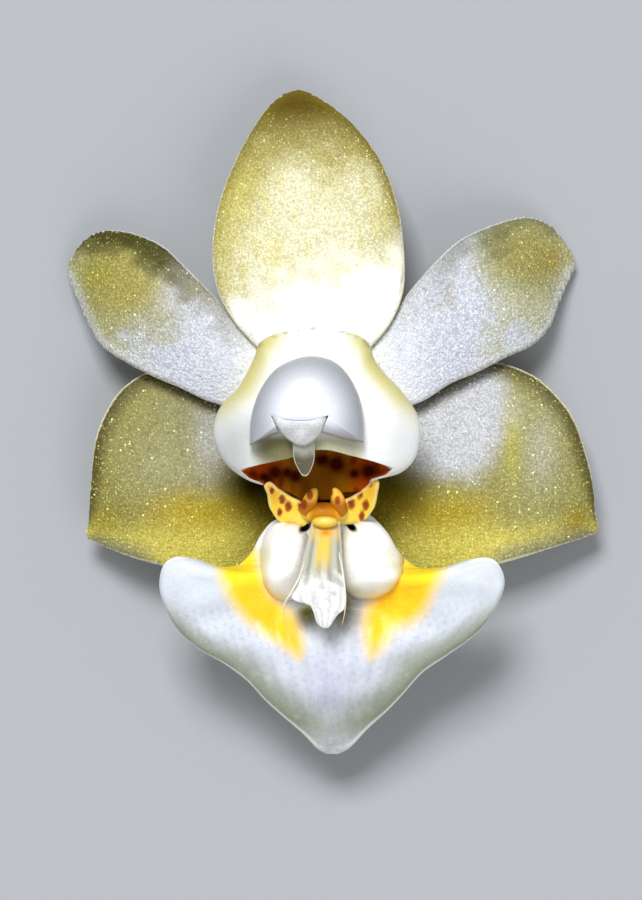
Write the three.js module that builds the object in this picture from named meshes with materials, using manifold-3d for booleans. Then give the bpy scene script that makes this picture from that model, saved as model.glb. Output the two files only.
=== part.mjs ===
// A picked flower of the moth orchid Phalaenopsis gibbosa, lying on its back and looking up.
// Millimetres. +Z is the way the bloom faces, +Y points from its centre to the tip of the dorsal sepal,
// and the origin is on the surface that it lies on, under the middle of it. The two petals bend back
// until their tips touch that surface, and the flower stalk behind the bloom lies along it.
import * as THREE from "three";
import { mergeVertices } from "three/addons/utils/BufferGeometryUtils.js";
import Module from "manifold-3d";

const wasm = await Module();
wasm.setup();

// Driving dimensions.
const TISSUE = 0.6; // thickness of a sepal, a petal or the lip along its middle
const MARGIN = 0.3; // thickness of the same at its margin
const CLEARANCE = 0.06; // between pieces that lie against each other
const COLUMN_AXIS = [-0.31, 0.02]; // where the stalk and the column meet, seen from the front
const NECK = { radiusX: 0.6, radiusY: 0.66, bottom: 1.24, top: 3.3 };
const HEAD = { underside: 2.4, swell: 0.28, rim: 3.35, front: 4.15, curvature: 0.08 };
const MOUTH = { middle: [-0.31, -1.15], halfWidth: 1.5, floor: 2.6, lift: 0.8, lip: 0.25 };
const FOOT = { middle: [-0.31, -0.7], bottom: 1.3, flare: 0.2, tip: 1.7, stepTop: -1.3, stepFoot: -1.56 };
const CAP = { centre: [-0.5, 0.35], edge: 0.15, dome: 0.6 };
const STALK_RADIUS = 0.5;
const STALK_SUNK = 0.06; // how much of the stalk's round is pressed flat where it lies

// Mesh fineness.
const BLADE_ROWS = 16;
const BLADE_COLUMNS = 8;
const LOBE_ROWS = 8;
const LOBE_COLUMNS = 4;
const LIP_ROWS = 42;
const LIP_COLUMNS = 12;
const OUTLINE_STEPS = 40;
const LENS_RINGS = 6;
const BALL_SIDES = 12;
const BALL_RINGS = 8;
const NECK_SIDES = 24;
const TOOTH_SIDES = 8;
const THREAD_SIDES = 5;
const THREAD_STEPS = 9;

// Each row of a sepal or petal, from its base to its tip: the left edge, the right edge, and the height
// of the front surface along the middle. Left and right are as seen from the front, looking at the tip.
const DORSAL_SEPAL = [
  [[-0.87, 0.76, 2.36], [0.29, 0.76, 2.36], 2.46],
  [[-1.38, 1.35, 2.38], [0.69, 1.35, 2.38], 2.52],
  [[-1.94, 1.97, 2.38], [1.18, 1.95, 2.38], 2.56],
  [[-2.3, 2.65, 2.25], [1.44, 2.61, 2.25], 2.55],
  [[-2.39, 3.45, 2.08], [1.45, 3.45, 2.08], 2.45],
  [[-2.27, 4.32, 1.85], [1.33, 4.32, 1.85], 2.22],
  [[-1.95, 5.2, 1.55], [1.01, 5.2, 1.55], 1.9],
  [[-1.54, 5.97, 1.25], [0.45, 5.97, 1.25], 1.55],
  [[-1.12, 6.49, 1.0], [-0.19, 6.49, 1.0], 1.2],
  [[-0.67, 6.67, 0.85], [-0.67, 6.67, 0.85], 0.85],
];
const LEFT_PETAL = [
  [[-1.02, -0.12, 1.95], [-0.95, 0.6, 2.1], 2.12],
  [[-1.95, 0.23, 1.92], [-1.47, 1.29, 2.2], 2.18],
  [[-2.53, 0.42, 1.9], [-2.02, 1.93, 2.18], 2.18],
  [[-3.03, 0.66, 1.84], [-2.42, 2.52, 2.05], 2.12],
  [[-3.6, 0.9, 1.72], [-2.85, 3.02, 1.85], 2.0],
  [[-4.16, 1.19, 1.5], [-3.34, 3.49, 1.6], 1.85],
  [[-4.63, 1.51, 1.2], [-3.89, 3.76, 1.3], 1.55],
  [[-4.92, 1.96, 0.9], [-4.36, 3.86, 0.95], 1.2],
  [[-5.11, 2.39, 0.65], [-4.73, 3.82, 0.68], 0.85],
  [[-5.26, 2.75, 0.45], [-5.05, 3.6, 0.44], 0.55],
  [[-5.31, 3.14, 0.27], [-5.31, 3.14, 0.27], 0.27],
];
const RIGHT_PETAL = [
  [[0.37, 0.6, 2.1], [0.42, -0.12, 1.95], 2.12],
  [[0.79, 1.3, 2.2], [1.35, 0.22, 1.92], 2.18],
  [[1.26, 1.92, 2.18], [1.87, 0.42, 1.9], 2.18],
  [[1.6, 2.56, 2.05], [2.37, 0.74, 1.84], 2.12],
  [[2.07, 3.18, 1.85], [2.93, 0.98, 1.72], 2.0],
  [[2.56, 3.63, 1.6], [3.5, 1.27, 1.55], 1.85],
  [[3.11, 3.9, 1.3], [4.03, 1.51, 1.25], 1.58],
  [[3.64, 4.08, 0.98], [4.38, 1.86, 0.95], 1.25],
  [[4.07, 4.11, 0.72], [4.57, 2.29, 0.68], 0.9],
  [[4.52, 3.87, 0.46], [4.74, 2.73, 0.46], 0.58],
  [[4.93, 3.22, 0.27], [4.93, 3.22, 0.27], 0.27],
];
const LEFT_LATERAL_SEPAL = [
  [[-1.21, -1.3, 1.5], [-1.2, -0.02, 1.32], 1.46],
  [[-1.14, -1.75, 1.5], [-1.6, 0.2, 1.36], 1.54],
  [[-1.1, -2.1, 1.48], [-2.0, 0.36, 1.37], 1.59],
  [[-1.28, -2.42, 1.45], [-2.5, 0.56, 1.34], 1.62],
  [[-1.48, -2.78, 1.45], [-3.05, 0.8, 1.28], 1.62],
  [[-1.85, -2.99, 1.48], [-3.6, 1.0, 1.16], 1.6],
  [[-2.46, -3.02, 1.55], [-4.13, 0.73, 1.2], 1.56],
  [[-3.03, -2.98, 1.6], [-4.49, 0.28, 1.25], 1.52],
  [[-3.59, -2.86, 1.55], [-4.75, -0.38, 1.28], 1.46],
  [[-4.16, -2.69, 1.35], [-4.85, -1.34, 1.16], 1.28],
  [[-4.72, -2.46, 1.02], [-4.89, -1.95, 1.0], 1.02],
  [[-4.93, -2.33, 0.9], [-4.93, -2.33, 0.9], 0.9],
];
const RIGHT_LATERAL_SEPAL = [
  [[0.6, -0.02, 1.32], [0.67, -1.3, 1.5], 1.46],
  [[1.02, 0.2, 1.36], [0.68, -1.7, 1.5], 1.54],
  [[1.42, 0.33, 1.37], [0.78, -2.04, 1.48], 1.59],
  [[1.9, 0.55, 1.34], [1.0, -2.36, 1.45], 1.62],
  [[2.45, 0.86, 1.28], [1.2, -2.7, 1.45], 1.62],
  [[3.2, 1.18, 1.14], [1.6, -3.0, 1.48], 1.6],
  [[3.93, 0.99, 1.18], [2.3, -3.02, 1.55], 1.56],
  [[4.45, 0.61, 1.24], [2.97, -2.96, 1.6], 1.52],
  [[4.89, 0.02, 1.28], [3.7, -2.78, 1.55], 1.46],
  [[5.22, -1.02, 1.18], [4.37, -2.57, 1.35], 1.3],
  [[5.32, -1.8, 1.0], [5.05, -2.36, 1.02], 1.03],
  [[5.37, -2.19, 0.9], [5.37, -2.19, 0.9], 0.9],
];

// Each row of the lip's midlobe, from the hinge to its tip: the edge on the +X side, the midline, the
// edge on the -X side, and how far the row bows towards the tip between them. The rows fan out at
// first, from the hinge to the tips of the two wings.
const MIDLOBE = [
  [[0.4, -1.64, 2.56], [-0.19, -1.64, 2.58], [-0.78, -1.64, 2.56], 0],
  [[0.72, -1.87, 2.42], [-0.22, -1.78, 2.55], [-1.0, -1.9, 2.42], 0],
  [[0.92, -2.0, 2.3], [-0.23, -1.91, 2.53], [-1.24, -2.05, 2.3], 0],
  [[1.15, -2.27, 2.18], [-0.24, -2.06, 2.5], [-1.43, -2.3, 2.18], 0],
  [[1.33, -2.59, 2.12], [-0.25, -2.22, 2.46], [-1.61, -2.63, 2.12], 0],
  [[1.6, -2.84, 2.12], [-0.25, -2.38, 2.42], [-1.88, -2.87, 2.14], 0.05],
  [[1.95, -2.94, 2.2], [-0.24, -2.52, 2.41], [-2.2, -2.91, 2.2], 0.12],
  [[2.36, -2.88, 2.5], [-0.23, -2.66, 2.4], [-2.5, -2.84, 2.5], 0.3],
  [[2.69, -2.76, 2.8], [-0.22, -2.8, 2.38], [-2.8, -2.7, 2.84], 0.5],
  [[3.0, -2.69, 2.94], [-0.21, -2.95, 2.36], [-3.1, -2.69, 2.96], 0.55],
  [[3.3, -2.81, 2.93], [-0.2, -3.13, 2.34], [-3.35, -2.87, 2.92], 0.48],
  [[3.45, -3.17, 2.84], [-0.17, -3.4, 2.3], [-3.43, -3.27, 2.84], 0.3],
  [[3.35, -3.57, 2.76], [-0.15, -3.65, 2.3], [-3.33, -3.68, 2.76], 0.2],
  [[3.12, -3.99, 2.68], [-0.13, -3.87, 2.4], [-3.08, -4.14, 2.68], 0.1],
  [[2.76, -4.35, 2.6], [-0.11, -4.11, 2.55], [-2.66, -4.54, 2.6], 0.05],
  [[2.3, -4.69, 2.5], [-0.09, -4.38, 2.65], [-2.14, -4.85, 2.5], 0],
  [[1.82, -5.03, 2.4], [-0.07, -4.67, 2.65], [-1.69, -5.19, 2.4], 0],
  [[1.45, -5.45, 2.25], [-0.05, -4.99, 2.6], [-1.31, -5.61, 2.25], 0],
  [[1.13, -5.8, 2.1], [-0.03, -5.35, 2.45], [-0.93, -5.96, 2.1], 0],
  [[0.73, -6.18, 1.9], [-0.01, -5.73, 2.2], [-0.57, -6.28, 1.9], 0],
  [[0.4, -6.54, 1.7], [0.01, -6.16, 1.9], [-0.3, -6.57, 1.7], 0],
  [[0.03, -6.68, 1.6], [0.03, -6.68, 1.6], [0.03, -6.68, 1.6], 0],
];
const WING = { start: [0.2, 0.34], end: [0.75, 0.5], flank: [0.08, 0.78], roll: 0.22 };

// The two humps on the lip: centre and half-sizes.
const HUMPS = [
  { centre: [-0.92, -2.77, 2.4], half: [0.48, 0.78, 1.3] },
  { centre: [0.76, -2.76, 2.4], half: [0.6, 0.79, 1.3] },
];
const HUMP_ROOT = 0.4; // how far a hump is sunk into the lip
// The lip's side lobes, given as a sepal's rows are, from the hinge to the tip.
const SIDE_LOBE_LEFT = [
  [[-0.99, -2.04, 2.5], [-0.5, -1.8, 2.55], 2.52],
  [[-1.17, -1.79, 2.85], [-0.77, -1.58, 2.85], 2.77],
  [[-1.24, -1.53, 3.15], [-1.0, -1.42, 3.15], 3.1],
  [[-1.25, -1.28, 3.45], [-1.25, -1.28, 3.45], 3.45],
];
const SIDE_LOBE_RIGHT = [
  [[0.1, -1.78, 2.55], [0.57, -2.03, 2.5], 2.52],
  [[0.4, -1.56, 2.85], [0.78, -1.8, 2.85], 2.77],
  [[0.65, -1.37, 3.15], [0.86, -1.52, 3.15], 3.1],
  [[0.85, -1.23, 3.45], [0.85, -1.23, 3.45], 3.45],
];
const SIDE_LOBE_THICKNESS = 0.4;
// The callus: a torn tongue that rises over the humps, the bar at its root and two teeth above it.
const TONGUE_OUTLINE = [
  [-0.36, -1.96], [-0.45, -2.26], [-0.57, -2.61], [-0.62, -3.01], [-0.64, -3.34], [-0.6, -3.48],
  [-0.49, -3.56], [-0.41, -3.64], [-0.33, -3.6], [-0.25, -3.86], [-0.15, -4.05], [-0.07, -3.98],
  [0.05, -3.8], [0.17, -3.74], [0.22, -3.58], [0.24, -3.34], [0.2, -3.01], [0.15, -2.61],
  [0.13, -2.26], [0.13, -1.96],
];
const TONGUE = { thickness: 0.4, rootHeight: 2.75, tipHeight: 4.0 };
const BAR = { centre: [-0.11, -2.0, 2.8], half: [0.3, 0.16, 0.35] };
const TEETH = [[-0.33, -1.62], [0.04, -1.6]];
const TOOTH = { radius: 0.18, bottom: 2.3, top: 3.15, lean: 0.2 };
// The two hair-fine threads that hang from the callus.
const THREAD_RADIUS = 0.05;
const THREADS = [
  [
    [-0.5, -2.5, 3.1], [-0.66, -3.05, 3.9], [-0.8, -3.38, 4.0], [-0.93, -3.62, 3.8],
    [-0.94, -3.88, 3.5], [-0.86, -4.15, 3.2],
  ],
  [[0.1, -2.5, 3.1], [0.2, -2.95, 3.9], [0.27, -3.44, 4.05], [0.26, -3.78, 3.8], [0.2, -4.09, 3.4]],
];

// The column's front view: its head, its foot, the mouth under the cap and the cap itself.
const HEAD_OUTLINE = [
  [-0.41, 1.86], [0.13, 1.82], [0.56, 1.68], [0.74, 1.52], [0.86, 1.2], [1.06, 0.93], [1.33, 0.65],
  [1.67, 0.19], [1.76, -0.22], [1.67, -0.72], [1.39, -1.02], [0.96, -1.15], [0.4, -1.29],
  [-0.27, -1.33], [-0.94, -1.31], [-1.38, -1.27], [-1.75, -1.13], [-2.11, -0.84], [-2.31, -0.42],
  [-2.33, -0.03], [-2.17, 0.33], [-1.87, 0.63], [-1.68, 0.95], [-1.52, 1.3], [-1.43, 1.54],
  [-1.2, 1.69], [-0.85, 1.79],
];
const FOOT_OUTLINE = [
  [-0.31, 0.4], [0.05, 0.3], [0.25, 0.0], [0.46, -0.58], [0.58, -1.18], [0.46, -1.58], [0.17, -1.78],
  [-0.31, -1.86], [-0.75, -1.78], [-1.02, -1.58], [-1.12, -1.18], [-1.05, -0.58], [-0.87, 0.0],
  [-0.67, 0.3],
];
const MOUTH_OUTLINE = [
  [-1.9, -1.0], [-1.38, -0.85], [-0.82, -0.78], [-0.57, -0.62], [-0.09, -0.58], [0.37, -0.7],
  [0.8, -0.8], [1.28, -0.94], [1.12, -1.04], [0.78, -1.19], [0.96, -1.97], [-1.52, -1.97],
  [-1.34, -1.26], [-1.62, -1.16],
];
const CAP_OUTLINE = [
  [-1.62, -0.5], [-1.59, 0.05], [-1.43, 0.56], [-1.14, 0.98], [-0.78, 1.19], [-0.41, 1.27],
  [-0.03, 1.2], [0.26, 0.98], [0.5, 0.58], [0.62, 0.11], [0.64, -0.44], [0.24, -0.36], [-0.17, -0.25],
  [-0.6, -0.24], [-1.06, -0.26],
];
const CAP_NOTCH = [
  [-1.22, 0.09], [-1.05, -0.3], [-1.02, -0.6], [-0.18, -0.6], [-0.17, -0.3], [-0.04, 0.11],
];

// The pollen body in the notch of the cap: two lumps and a pointed tongue that hangs over the mouth.
const POLLEN_LUMPS = [
  { centre: [-0.9, -0.1, 4.42], half: [0.2, 0.15, 0.17] },
  { centre: [-0.34, -0.09, 4.42], half: [0.2, 0.15, 0.17] },
  { centre: [-0.6, -0.2, 4.4], half: [0.32, 0.24, 0.15] },
];
const POLLEN_TONGUE = [
  [-0.78, -0.3], [-0.33, -0.3], [-0.32, -0.62], [-0.39, -0.86], [-0.53, -1.04], [-0.67, -0.88],
  [-0.77, -0.62],
];
const POLLEN_TONGUE_Z = [4.24, 4.42];

// The flower stalk: it leaves the column straight back, turns down in a quarter circle and lies along
// the surface to where it was cut.
const STALK_TOP = 1.12;
const STALK_RUN = [[-0.3, -1.6], [-0.25, -2.8], [-0.17, -4.0], [-0.11, -5.3]];
const STALK_BEND_STEPS = 4;
const STALK_STEPS = 20;
const STALK_SIDES = 24;
const STALK_RIBS = 6;
const STALK_RIB_HEIGHT = 0.03;
const CUT_BLOCK = { width: 20, height: 2 }; // what is cut off the stalk below the surface it lies on

// Gathers triangles by their corner points. Corners that coincide become one vertex, and a triangle
// that this flattens to a line is dropped.
class Skin {
  constructor() {
    this.positions = [];
    this.index = [];
    this.known = new Map();
  }

  corner(point) {
    const key = point.toArray().map((value) => Math.round(value * 1e4)).join();
    if (!this.known.has(key)) {
      this.known.set(key, this.known.size);
      this.positions.push(...point.toArray());
    }
    return this.known.get(key);
  }

  triangle(...points) {
    const corners = points.map((point) => this.corner(point));
    if (new Set(corners).size === 3) this.index.push(...corners);
  }

  quad(a, b, c, d) {
    this.triangle(a, b, c);
    this.triangle(a, c, d);
  }

  geometry() {
    const geometry = new THREE.BufferGeometry();
    geometry.setAttribute("position", new THREE.Float32BufferAttribute(this.positions, 3));
    geometry.setIndex(this.index);
    return geometry;
  }
}

// The closed body between two grids of points that answer one another, split alike on both faces.
function closeGrids(front, back) {
  const skin = new Skin();
  const rows = front.length - 1;
  const columns = front[0].length - 1;
  for (let i = 0; i < rows; i++) {
    for (let j = 0; j < columns; j++) {
      skin.quad(front[i][j], front[i][j + 1], front[i + 1][j + 1], front[i + 1][j]);
      skin.triangle(back[i][j], back[i + 1][j + 1], back[i][j + 1]);
      skin.triangle(back[i][j], back[i + 1][j], back[i + 1][j + 1]);
    }
    skin.quad(front[i + 1][0], back[i + 1][0], back[i][0], front[i][0]);
    skin.quad(front[i][columns], back[i][columns], back[i + 1][columns], front[i + 1][columns]);
  }
  for (let j = 0; j < columns; j++) {
    skin.quad(front[0][j], back[0][j], back[0][j + 1], front[0][j + 1]);
    skin.quad(front[rows][j + 1], back[rows][j + 1], back[rows][j], front[rows][j]);
  }
  return skin.geometry();
}

// A smooth line through the points, with its parameter even from one point to the next.
function smoothLine(points) {
  return new THREE.CatmullRomCurve3(points.map((p) => new THREE.Vector3(...p)), false, "catmullrom");
}

// Thickness of a blade: full along the middle, and down to the margin's at both edges and at the tip.
function thicknessAt(u, v, full, margin) {
  const across = Math.sqrt(Math.max(0, 1 - (2 * v - 1) ** 4));
  const along = Math.sqrt(Math.max(0, 1 - u ** 8));
  return margin + (full - margin) * across * along;
}

// The back of a blade: its front lowered by the thickness, and pressed flat where it meets the surface.
function backOf(front, full, margin) {
  return front.map((row, i) => row.map((point, j) => {
    const u = i / (front.length - 1);
    const v = j / (row.length - 1);
    const lowered = point.z - thicknessAt(u, v, full, margin);
    return new THREE.Vector3(point.x, point.y, Math.max(0, lowered));
  }));
}

// A sepal, petal or lobe: straight across from edge to edge, and arched in height to its midline.
function blade(rows, full = TISSUE, margin = MARGIN, steps = BLADE_ROWS, columns = BLADE_COLUMNS) {
  const left = smoothLine(rows.map((row) => row[0]));
  const right = smoothLine(rows.map((row) => row[1]));
  const middle = smoothLine(rows.map((row) => [0, 0, row[2]]));
  const front = [];
  for (let i = 0; i <= steps; i++) {
    const a = left.getPoint(i / steps);
    const b = right.getPoint(i / steps);
    const rise = middle.getPoint(i / steps).z - (a.z + b.z) / 2;
    const row = [];
    for (let j = 0; j <= columns; j++) {
      const v = j / columns;
      const point = a.clone().lerp(b, v);
      point.z += 4 * v * (1 - v) * rise;
      row.push(point);
    }
    front.push(row);
  }
  return closeGrids(front, backOf(front, full, margin));
}

// From 0 at one value to 1 at another, rising or falling, and level at both ends.
function smoothStep([low, high], value) {
  const t = THREE.MathUtils.clamp((value - low) / (high - low), 0, 1);
  return t * t * (3 - 2 * t);
}

// The lip's midlobe: each row runs from edge to midline to edge. Where the wings are, it climbs from the
// midline in an S and rolls down again at the edge.
function midlobe() {
  const lines = [0, 1, 2].map((side) => smoothLine(MIDLOBE.map((row) => row[side])));
  const bowLine = smoothLine(MIDLOBE.map((row) => [0, row[3], 0]));
  const front = [];
  for (let i = 0; i <= LIP_ROWS; i++) {
    const u = i / LIP_ROWS;
    const [a, middle, b] = lines.map((line) => line.getPoint(u));
    const bow = bowLine.getPoint(u).y;
    const wing = smoothStep(WING.start, u) * smoothStep(WING.end, u);
    const row = [];
    for (let j = 0; j <= LIP_COLUMNS; j++) {
      const v = j / LIP_COLUMNS;
      const side = 2 * Math.abs(v - 0.5);
      const edge = v < 0.5 ? a : b;
      const climb = THREE.MathUtils.lerp(side ** 2, smoothStep(WING.flank, side), wing);
      const point = middle.clone().lerp(edge, side);
      point.y -= 4 * side * (1 - side) * bow;
      point.z = middle.z + (edge.z - middle.z) * climb + WING.roll * wing * climb * (1 - side ** 6);
      row.push(point);
    }
    front.push(row);
  }
  return closeGrids(front, backOf(front, TISSUE, MARGIN));
}

// Points round a closed outline, anticlockwise from the front. A rounded one runs smoothly through them.
function ring(outline, rounded) {
  const corners = outline.map(([x, y]) => new THREE.Vector3(x, y, 0));
  if (THREE.ShapeUtils.isClockWise(corners)) corners.reverse();
  if (!rounded) return corners;
  const closed = new THREE.CatmullRomCurve3(corners, true, "catmullrom");
  return Array.from({ length: OUTLINE_STEPS }, (_, k) => closed.getPoint(k / OUTLINE_STEPS));
}

// A lens: rings of the outline shrunk towards its centre, with a front and a back height at each point.
// Both heights are functions of x, y and the ring's share of the way out.
function lens(outline, centre, frontHeight, backHeight) {
  const skin = new Skin();
  const middle = new THREE.Vector3(centre[0], centre[1], 0);
  const sheet = (height) => Array.from({ length: LENS_RINGS + 1 }, (_, k) => {
    const share = Math.sin((Math.PI / 2) * (k / LENS_RINGS));
    return outline.map((corner) => {
      const point = middle.clone().lerp(corner, share);
      return point.setZ(height(point.x, point.y, share));
    });
  });
  const front = sheet(frontHeight);
  const back = sheet(backHeight);
  outline.forEach((_, j) => {
    const next = (j + 1) % outline.length;
    for (let k = 0; k < LENS_RINGS; k++) {
      skin.quad(front[k][j], front[k + 1][j], front[k + 1][next], front[k][next]);
      skin.quad(back[k][j], back[k][next], back[k + 1][next], back[k + 1][j]);
    }
    const [frontRim, backRim] = [front[LENS_RINGS], back[LENS_RINGS]];
    skin.quad(frontRim[j], backRim[j], backRim[next], frontRim[next]);
  });
  return skin.geometry();
}

// A straight plate of the outline between two heights.
function plate(outline, bottom, top) {
  const shape = new THREE.Shape(outline.map(([x, y]) => new THREE.Vector2(x, y)));
  const geometry = new THREE.ExtrudeGeometry(shape, { depth: top - bottom, bevelEnabled: false });
  return geometry.translate(0, 0, bottom);
}

function ellipsoid({ centre, half }) {
  return new THREE.SphereGeometry(1, BALL_SIDES, BALL_RINGS)
    .rotateX(Math.PI / 2)
    .scale(...half)
    .translate(...centre);
}

// The upper half of an ellipsoid on a shallow root.
function hump(size) {
  const geometry = ellipsoid(size);
  const position = geometry.getAttribute("position");
  const [, , base] = size.centre;
  for (let k = 0; k < position.count; k++) {
    const above = position.getZ(k) - base;
    if (above < 0) position.setZ(k, base + above * (HUMP_ROOT / size.half[2]));
  }
  return geometry;
}

// A geometry as a solid that can be joined and cut, and back again.
function toSolid(geometry) {
  const bare = geometry.clone();
  bare.deleteAttribute("normal");
  bare.deleteAttribute("uv");
  const merged = mergeVertices(bare, 1e-4);
  return new wasm.Manifold(new wasm.Mesh({
    numProp: 3,
    vertProperties: merged.getAttribute("position").array,
    triVerts: new Uint32Array(merged.index.array),
  }));
}

function fromSolid(solid) {
  const { vertProperties, triVerts } = solid.getMesh();
  const geometry = new THREE.BufferGeometry();
  geometry.setAttribute("position", new THREE.BufferAttribute(vertProperties, 3));
  geometry.setIndex(new THREE.BufferAttribute(triVerts, 1));
  return geometry;
}

function join(geometries) {
  return geometries.map(toSolid).reduce((whole, piece) => whole.add(piece));
}

// The front of the column's head, and of what is seated on it, before its edge is rounded off.
function headFront(x, y) {
  return HEAD.front - HEAD.curvature * ((x - COLUMN_AXIS[0]) ** 2 + (y - COLUMN_AXIS[1]) ** 2);
}

// The mouth's floor, which climbs towards its two corners.
function mouthFloor(x) {
  return MOUTH.floor + MOUTH.lift * Math.abs((x - MOUTH.middle[0]) / MOUTH.halfWidth) ** 1.4;
}

// The column: a wide head on a neck, with a foot below it that carries the lip. The mouth is cut into
// the head's lower edge as far back as the foot, whose front goes on level and then steps down under
// the lip's hinge.
function column() {
  const head = lens(
    ring(HEAD_OUTLINE, true),
    COLUMN_AXIS,
    (x, y, share) => HEAD.rim + (headFront(x, y) - HEAD.rim) * Math.sqrt(1 - share ** 4),
    (x, y, share) => (
      HEAD.rim - (HEAD.rim - HEAD.underside) * (1 - share) - HEAD.swell * Math.sqrt(1 - share ** 6)
    ),
  );
  const mouth = lens(
    ring(MOUTH_OUTLINE, false),
    MOUTH.middle,
    () => HEAD.front + 1,
    (x, y, share) => mouthFloor(x) + MOUTH.lip * share ** 8,
  );
  const foot = lens(
    ring(FOOT_OUTLINE, true),
    FOOT.middle,
    (x, y) => THREE.MathUtils.lerp(FOOT.tip, mouthFloor(x), smoothStep([FOOT.stepFoot, FOOT.stepTop], y)),
    (x, y, share) => FOOT.bottom + FOOT.flare * share ** 2,
  );
  const neck = new THREE.CylinderGeometry(1, 1, NECK.top - NECK.bottom, NECK_SIDES)
    .rotateX(Math.PI / 2)
    .scale(NECK.radiusX, NECK.radiusY, 1)
    .translate(...COLUMN_AXIS, (NECK.top + NECK.bottom) / 2);
  const rest = join([neck, foot]).subtract(toSolid(mouth));
  return fromSolid(toSolid(head).subtract(toSolid(mouth)).add(rest));
}

// The anther cap: a smooth dome seated on the head, with the pollen body's notch in its lower edge.
function antherCap() {
  const seat = (x, y) => headFront(x, y) + CLEARANCE;
  const dome = lens(
    ring(CAP_OUTLINE, false),
    CAP.centre,
    (x, y, share) => seat(x, y) + CAP.edge + CAP.dome * Math.sqrt(1 - share ** 3),
    seat,
  );
  const notch = plate(CAP_NOTCH, HEAD.front - 1, HEAD.front + 1);
  return fromSolid(toSolid(dome).subtract(toSolid(notch)));
}

function pollinarium() {
  return fromSolid(join([...POLLEN_LUMPS.map(ellipsoid), plate(POLLEN_TONGUE, ...POLLEN_TONGUE_Z)]));
}

// The callus tongue: a flat plate of the torn outline, sheared so that it rises towards its tip.
function callusTongue() {
  const geometry = plate(TONGUE_OUTLINE, 0, TONGUE.thickness);
  const position = geometry.getAttribute("position");
  const root = TONGUE_OUTLINE[0][1];
  const tip = Math.min(...TONGUE_OUTLINE.map(([, y]) => y));
  const slope = (TONGUE.tipHeight - TONGUE.rootHeight) / (tip - root);
  for (let k = 0; k < position.count; k++) {
    const back = TONGUE.rootHeight - TONGUE.thickness + slope * (position.getY(k) - root);
    position.setZ(k, position.getZ(k) + back);
  }
  return geometry;
}

function tooth([x, y]) {
  return new THREE.ConeGeometry(TOOTH.radius, TOOTH.top - TOOTH.bottom, TOOTH_SIDES)
    .rotateX(Math.PI / 2 - TOOTH.lean)
    .translate(x, y, (TOOTH.top + TOOTH.bottom) / 2);
}

// A round rod along a route, from a section with few sides.
function rod(route, radius, sides, steps) {
  const section = Array.from({ length: sides }, (_, k) => {
    const angle = (2 * Math.PI * k) / sides;
    return new THREE.Vector2(radius(angle) * Math.cos(angle), radius(angle) * Math.sin(angle));
  });
  return new THREE.ExtrudeGeometry(new THREE.Shape(section), { extrudePath: smoothLine(route), steps });
}

function sideLobe(rows) {
  return blade(rows, SIDE_LOBE_THICKNESS, SIDE_LOBE_THICKNESS / 2, LOBE_ROWS, LOBE_COLUMNS);
}

function lip() {
  return fromSolid(join([
    midlobe(),
    ...HUMPS.map(hump),
    sideLobe(SIDE_LOBE_LEFT),
    sideLobe(SIDE_LOBE_RIGHT),
    callusTongue(),
    ellipsoid(BAR),
    ...TEETH.map(tooth),
    ...THREADS.map((route) => rod(route, () => THREAD_RADIUS, THREAD_SIDES, THREAD_STEPS)),
  ]));
}

// The stalk: a rod with six low ribs, cut square at its lower end and pressed flat where it lies.
function ovaryPedicel() {
  const ribbed = (angle) => STALK_RADIUS + STALK_RIB_HEIGHT * Math.cos(STALK_RIBS * angle);
  const axisHeight = STALK_RADIUS - STALK_SUNK;
  const bend = STALK_TOP - axisHeight;
  const turn = Array.from({ length: STALK_BEND_STEPS + 1 }, (_, k) => {
    const angle = (Math.PI / 2) * (k / STALK_BEND_STEPS);
    const [x, y] = COLUMN_AXIS;
    return [x, y - bend * (1 - Math.cos(angle)), STALK_TOP - bend * Math.sin(angle)];
  });
  const route = [...turn, ...STALK_RUN.map(([x, y]) => [x, y, axisHeight])];
  const stalk = rod(route, ribbed, STALK_SIDES, STALK_STEPS);
  const below = new THREE.BoxGeometry(CUT_BLOCK.width, CUT_BLOCK.width, CUT_BLOCK.height)
    .translate(0, 0, -CUT_BLOCK.height / 2);
  return fromSolid(toSolid(stalk).subtract(toSolid(below)));
}

const MATERIALS = {
  olive: { color: 0xc3bb62, roughness: 0.55 },
  lilac: { color: 0xd3d2da, roughness: 0.55 },
  cream: { color: 0xf1f1e2, roughness: 0.4 },
  lavender: { color: 0xdedcec, roughness: 0.35 },
  glassy: { color: 0xe6e6ee, roughness: 0.25 },
  satin: { color: 0xeff0f2, roughness: 0.45 },
  green: { color: 0x9fae6a, roughness: 0.5 },
};

const PIECES = [
  ["dorsal_sepal", blade(DORSAL_SEPAL), "olive"],
  ["petal_left", blade(LEFT_PETAL), "lilac"],
  ["petal_right", blade(RIGHT_PETAL), "lilac"],
  ["lateral_sepal_left", blade(LEFT_LATERAL_SEPAL), "olive"],
  ["lateral_sepal_right", blade(RIGHT_LATERAL_SEPAL), "olive"],
  ["column", column(), "cream"],
  ["anther_cap", antherCap(), "lavender"],
  ["pollinarium", pollinarium(), "glassy"],
  ["lip", lip(), "satin"],
  ["ovary_pedicel", ovaryPedicel(), "green"],
];

const flower = new THREE.Group();
flower.name = "phalaenopsis_gibbosa_flower";
for (const [name, geometry, finish] of PIECES) {
  geometry.computeVertexNormals();
  const material = new THREE.MeshStandardMaterial({ ...MATERIALS[finish], side: THREE.FrontSide });
  const mesh = new THREE.Mesh(geometry, material);
  mesh.name = name;
  flower.add(mesh);
}

export default flower;
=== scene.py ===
"""A picked flower of the moth orchid Phalaenopsis gibbosa, lying on its back and seen from the front.

Shapes are worked out in millimetres, in the part's own frame, and each mesh is written in metres. +Z is the
way the bloom faces, +Y points from its centre to the tip of the dorsal sepal, and it lies on z = 0.
"""
from types import SimpleNamespace

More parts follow.
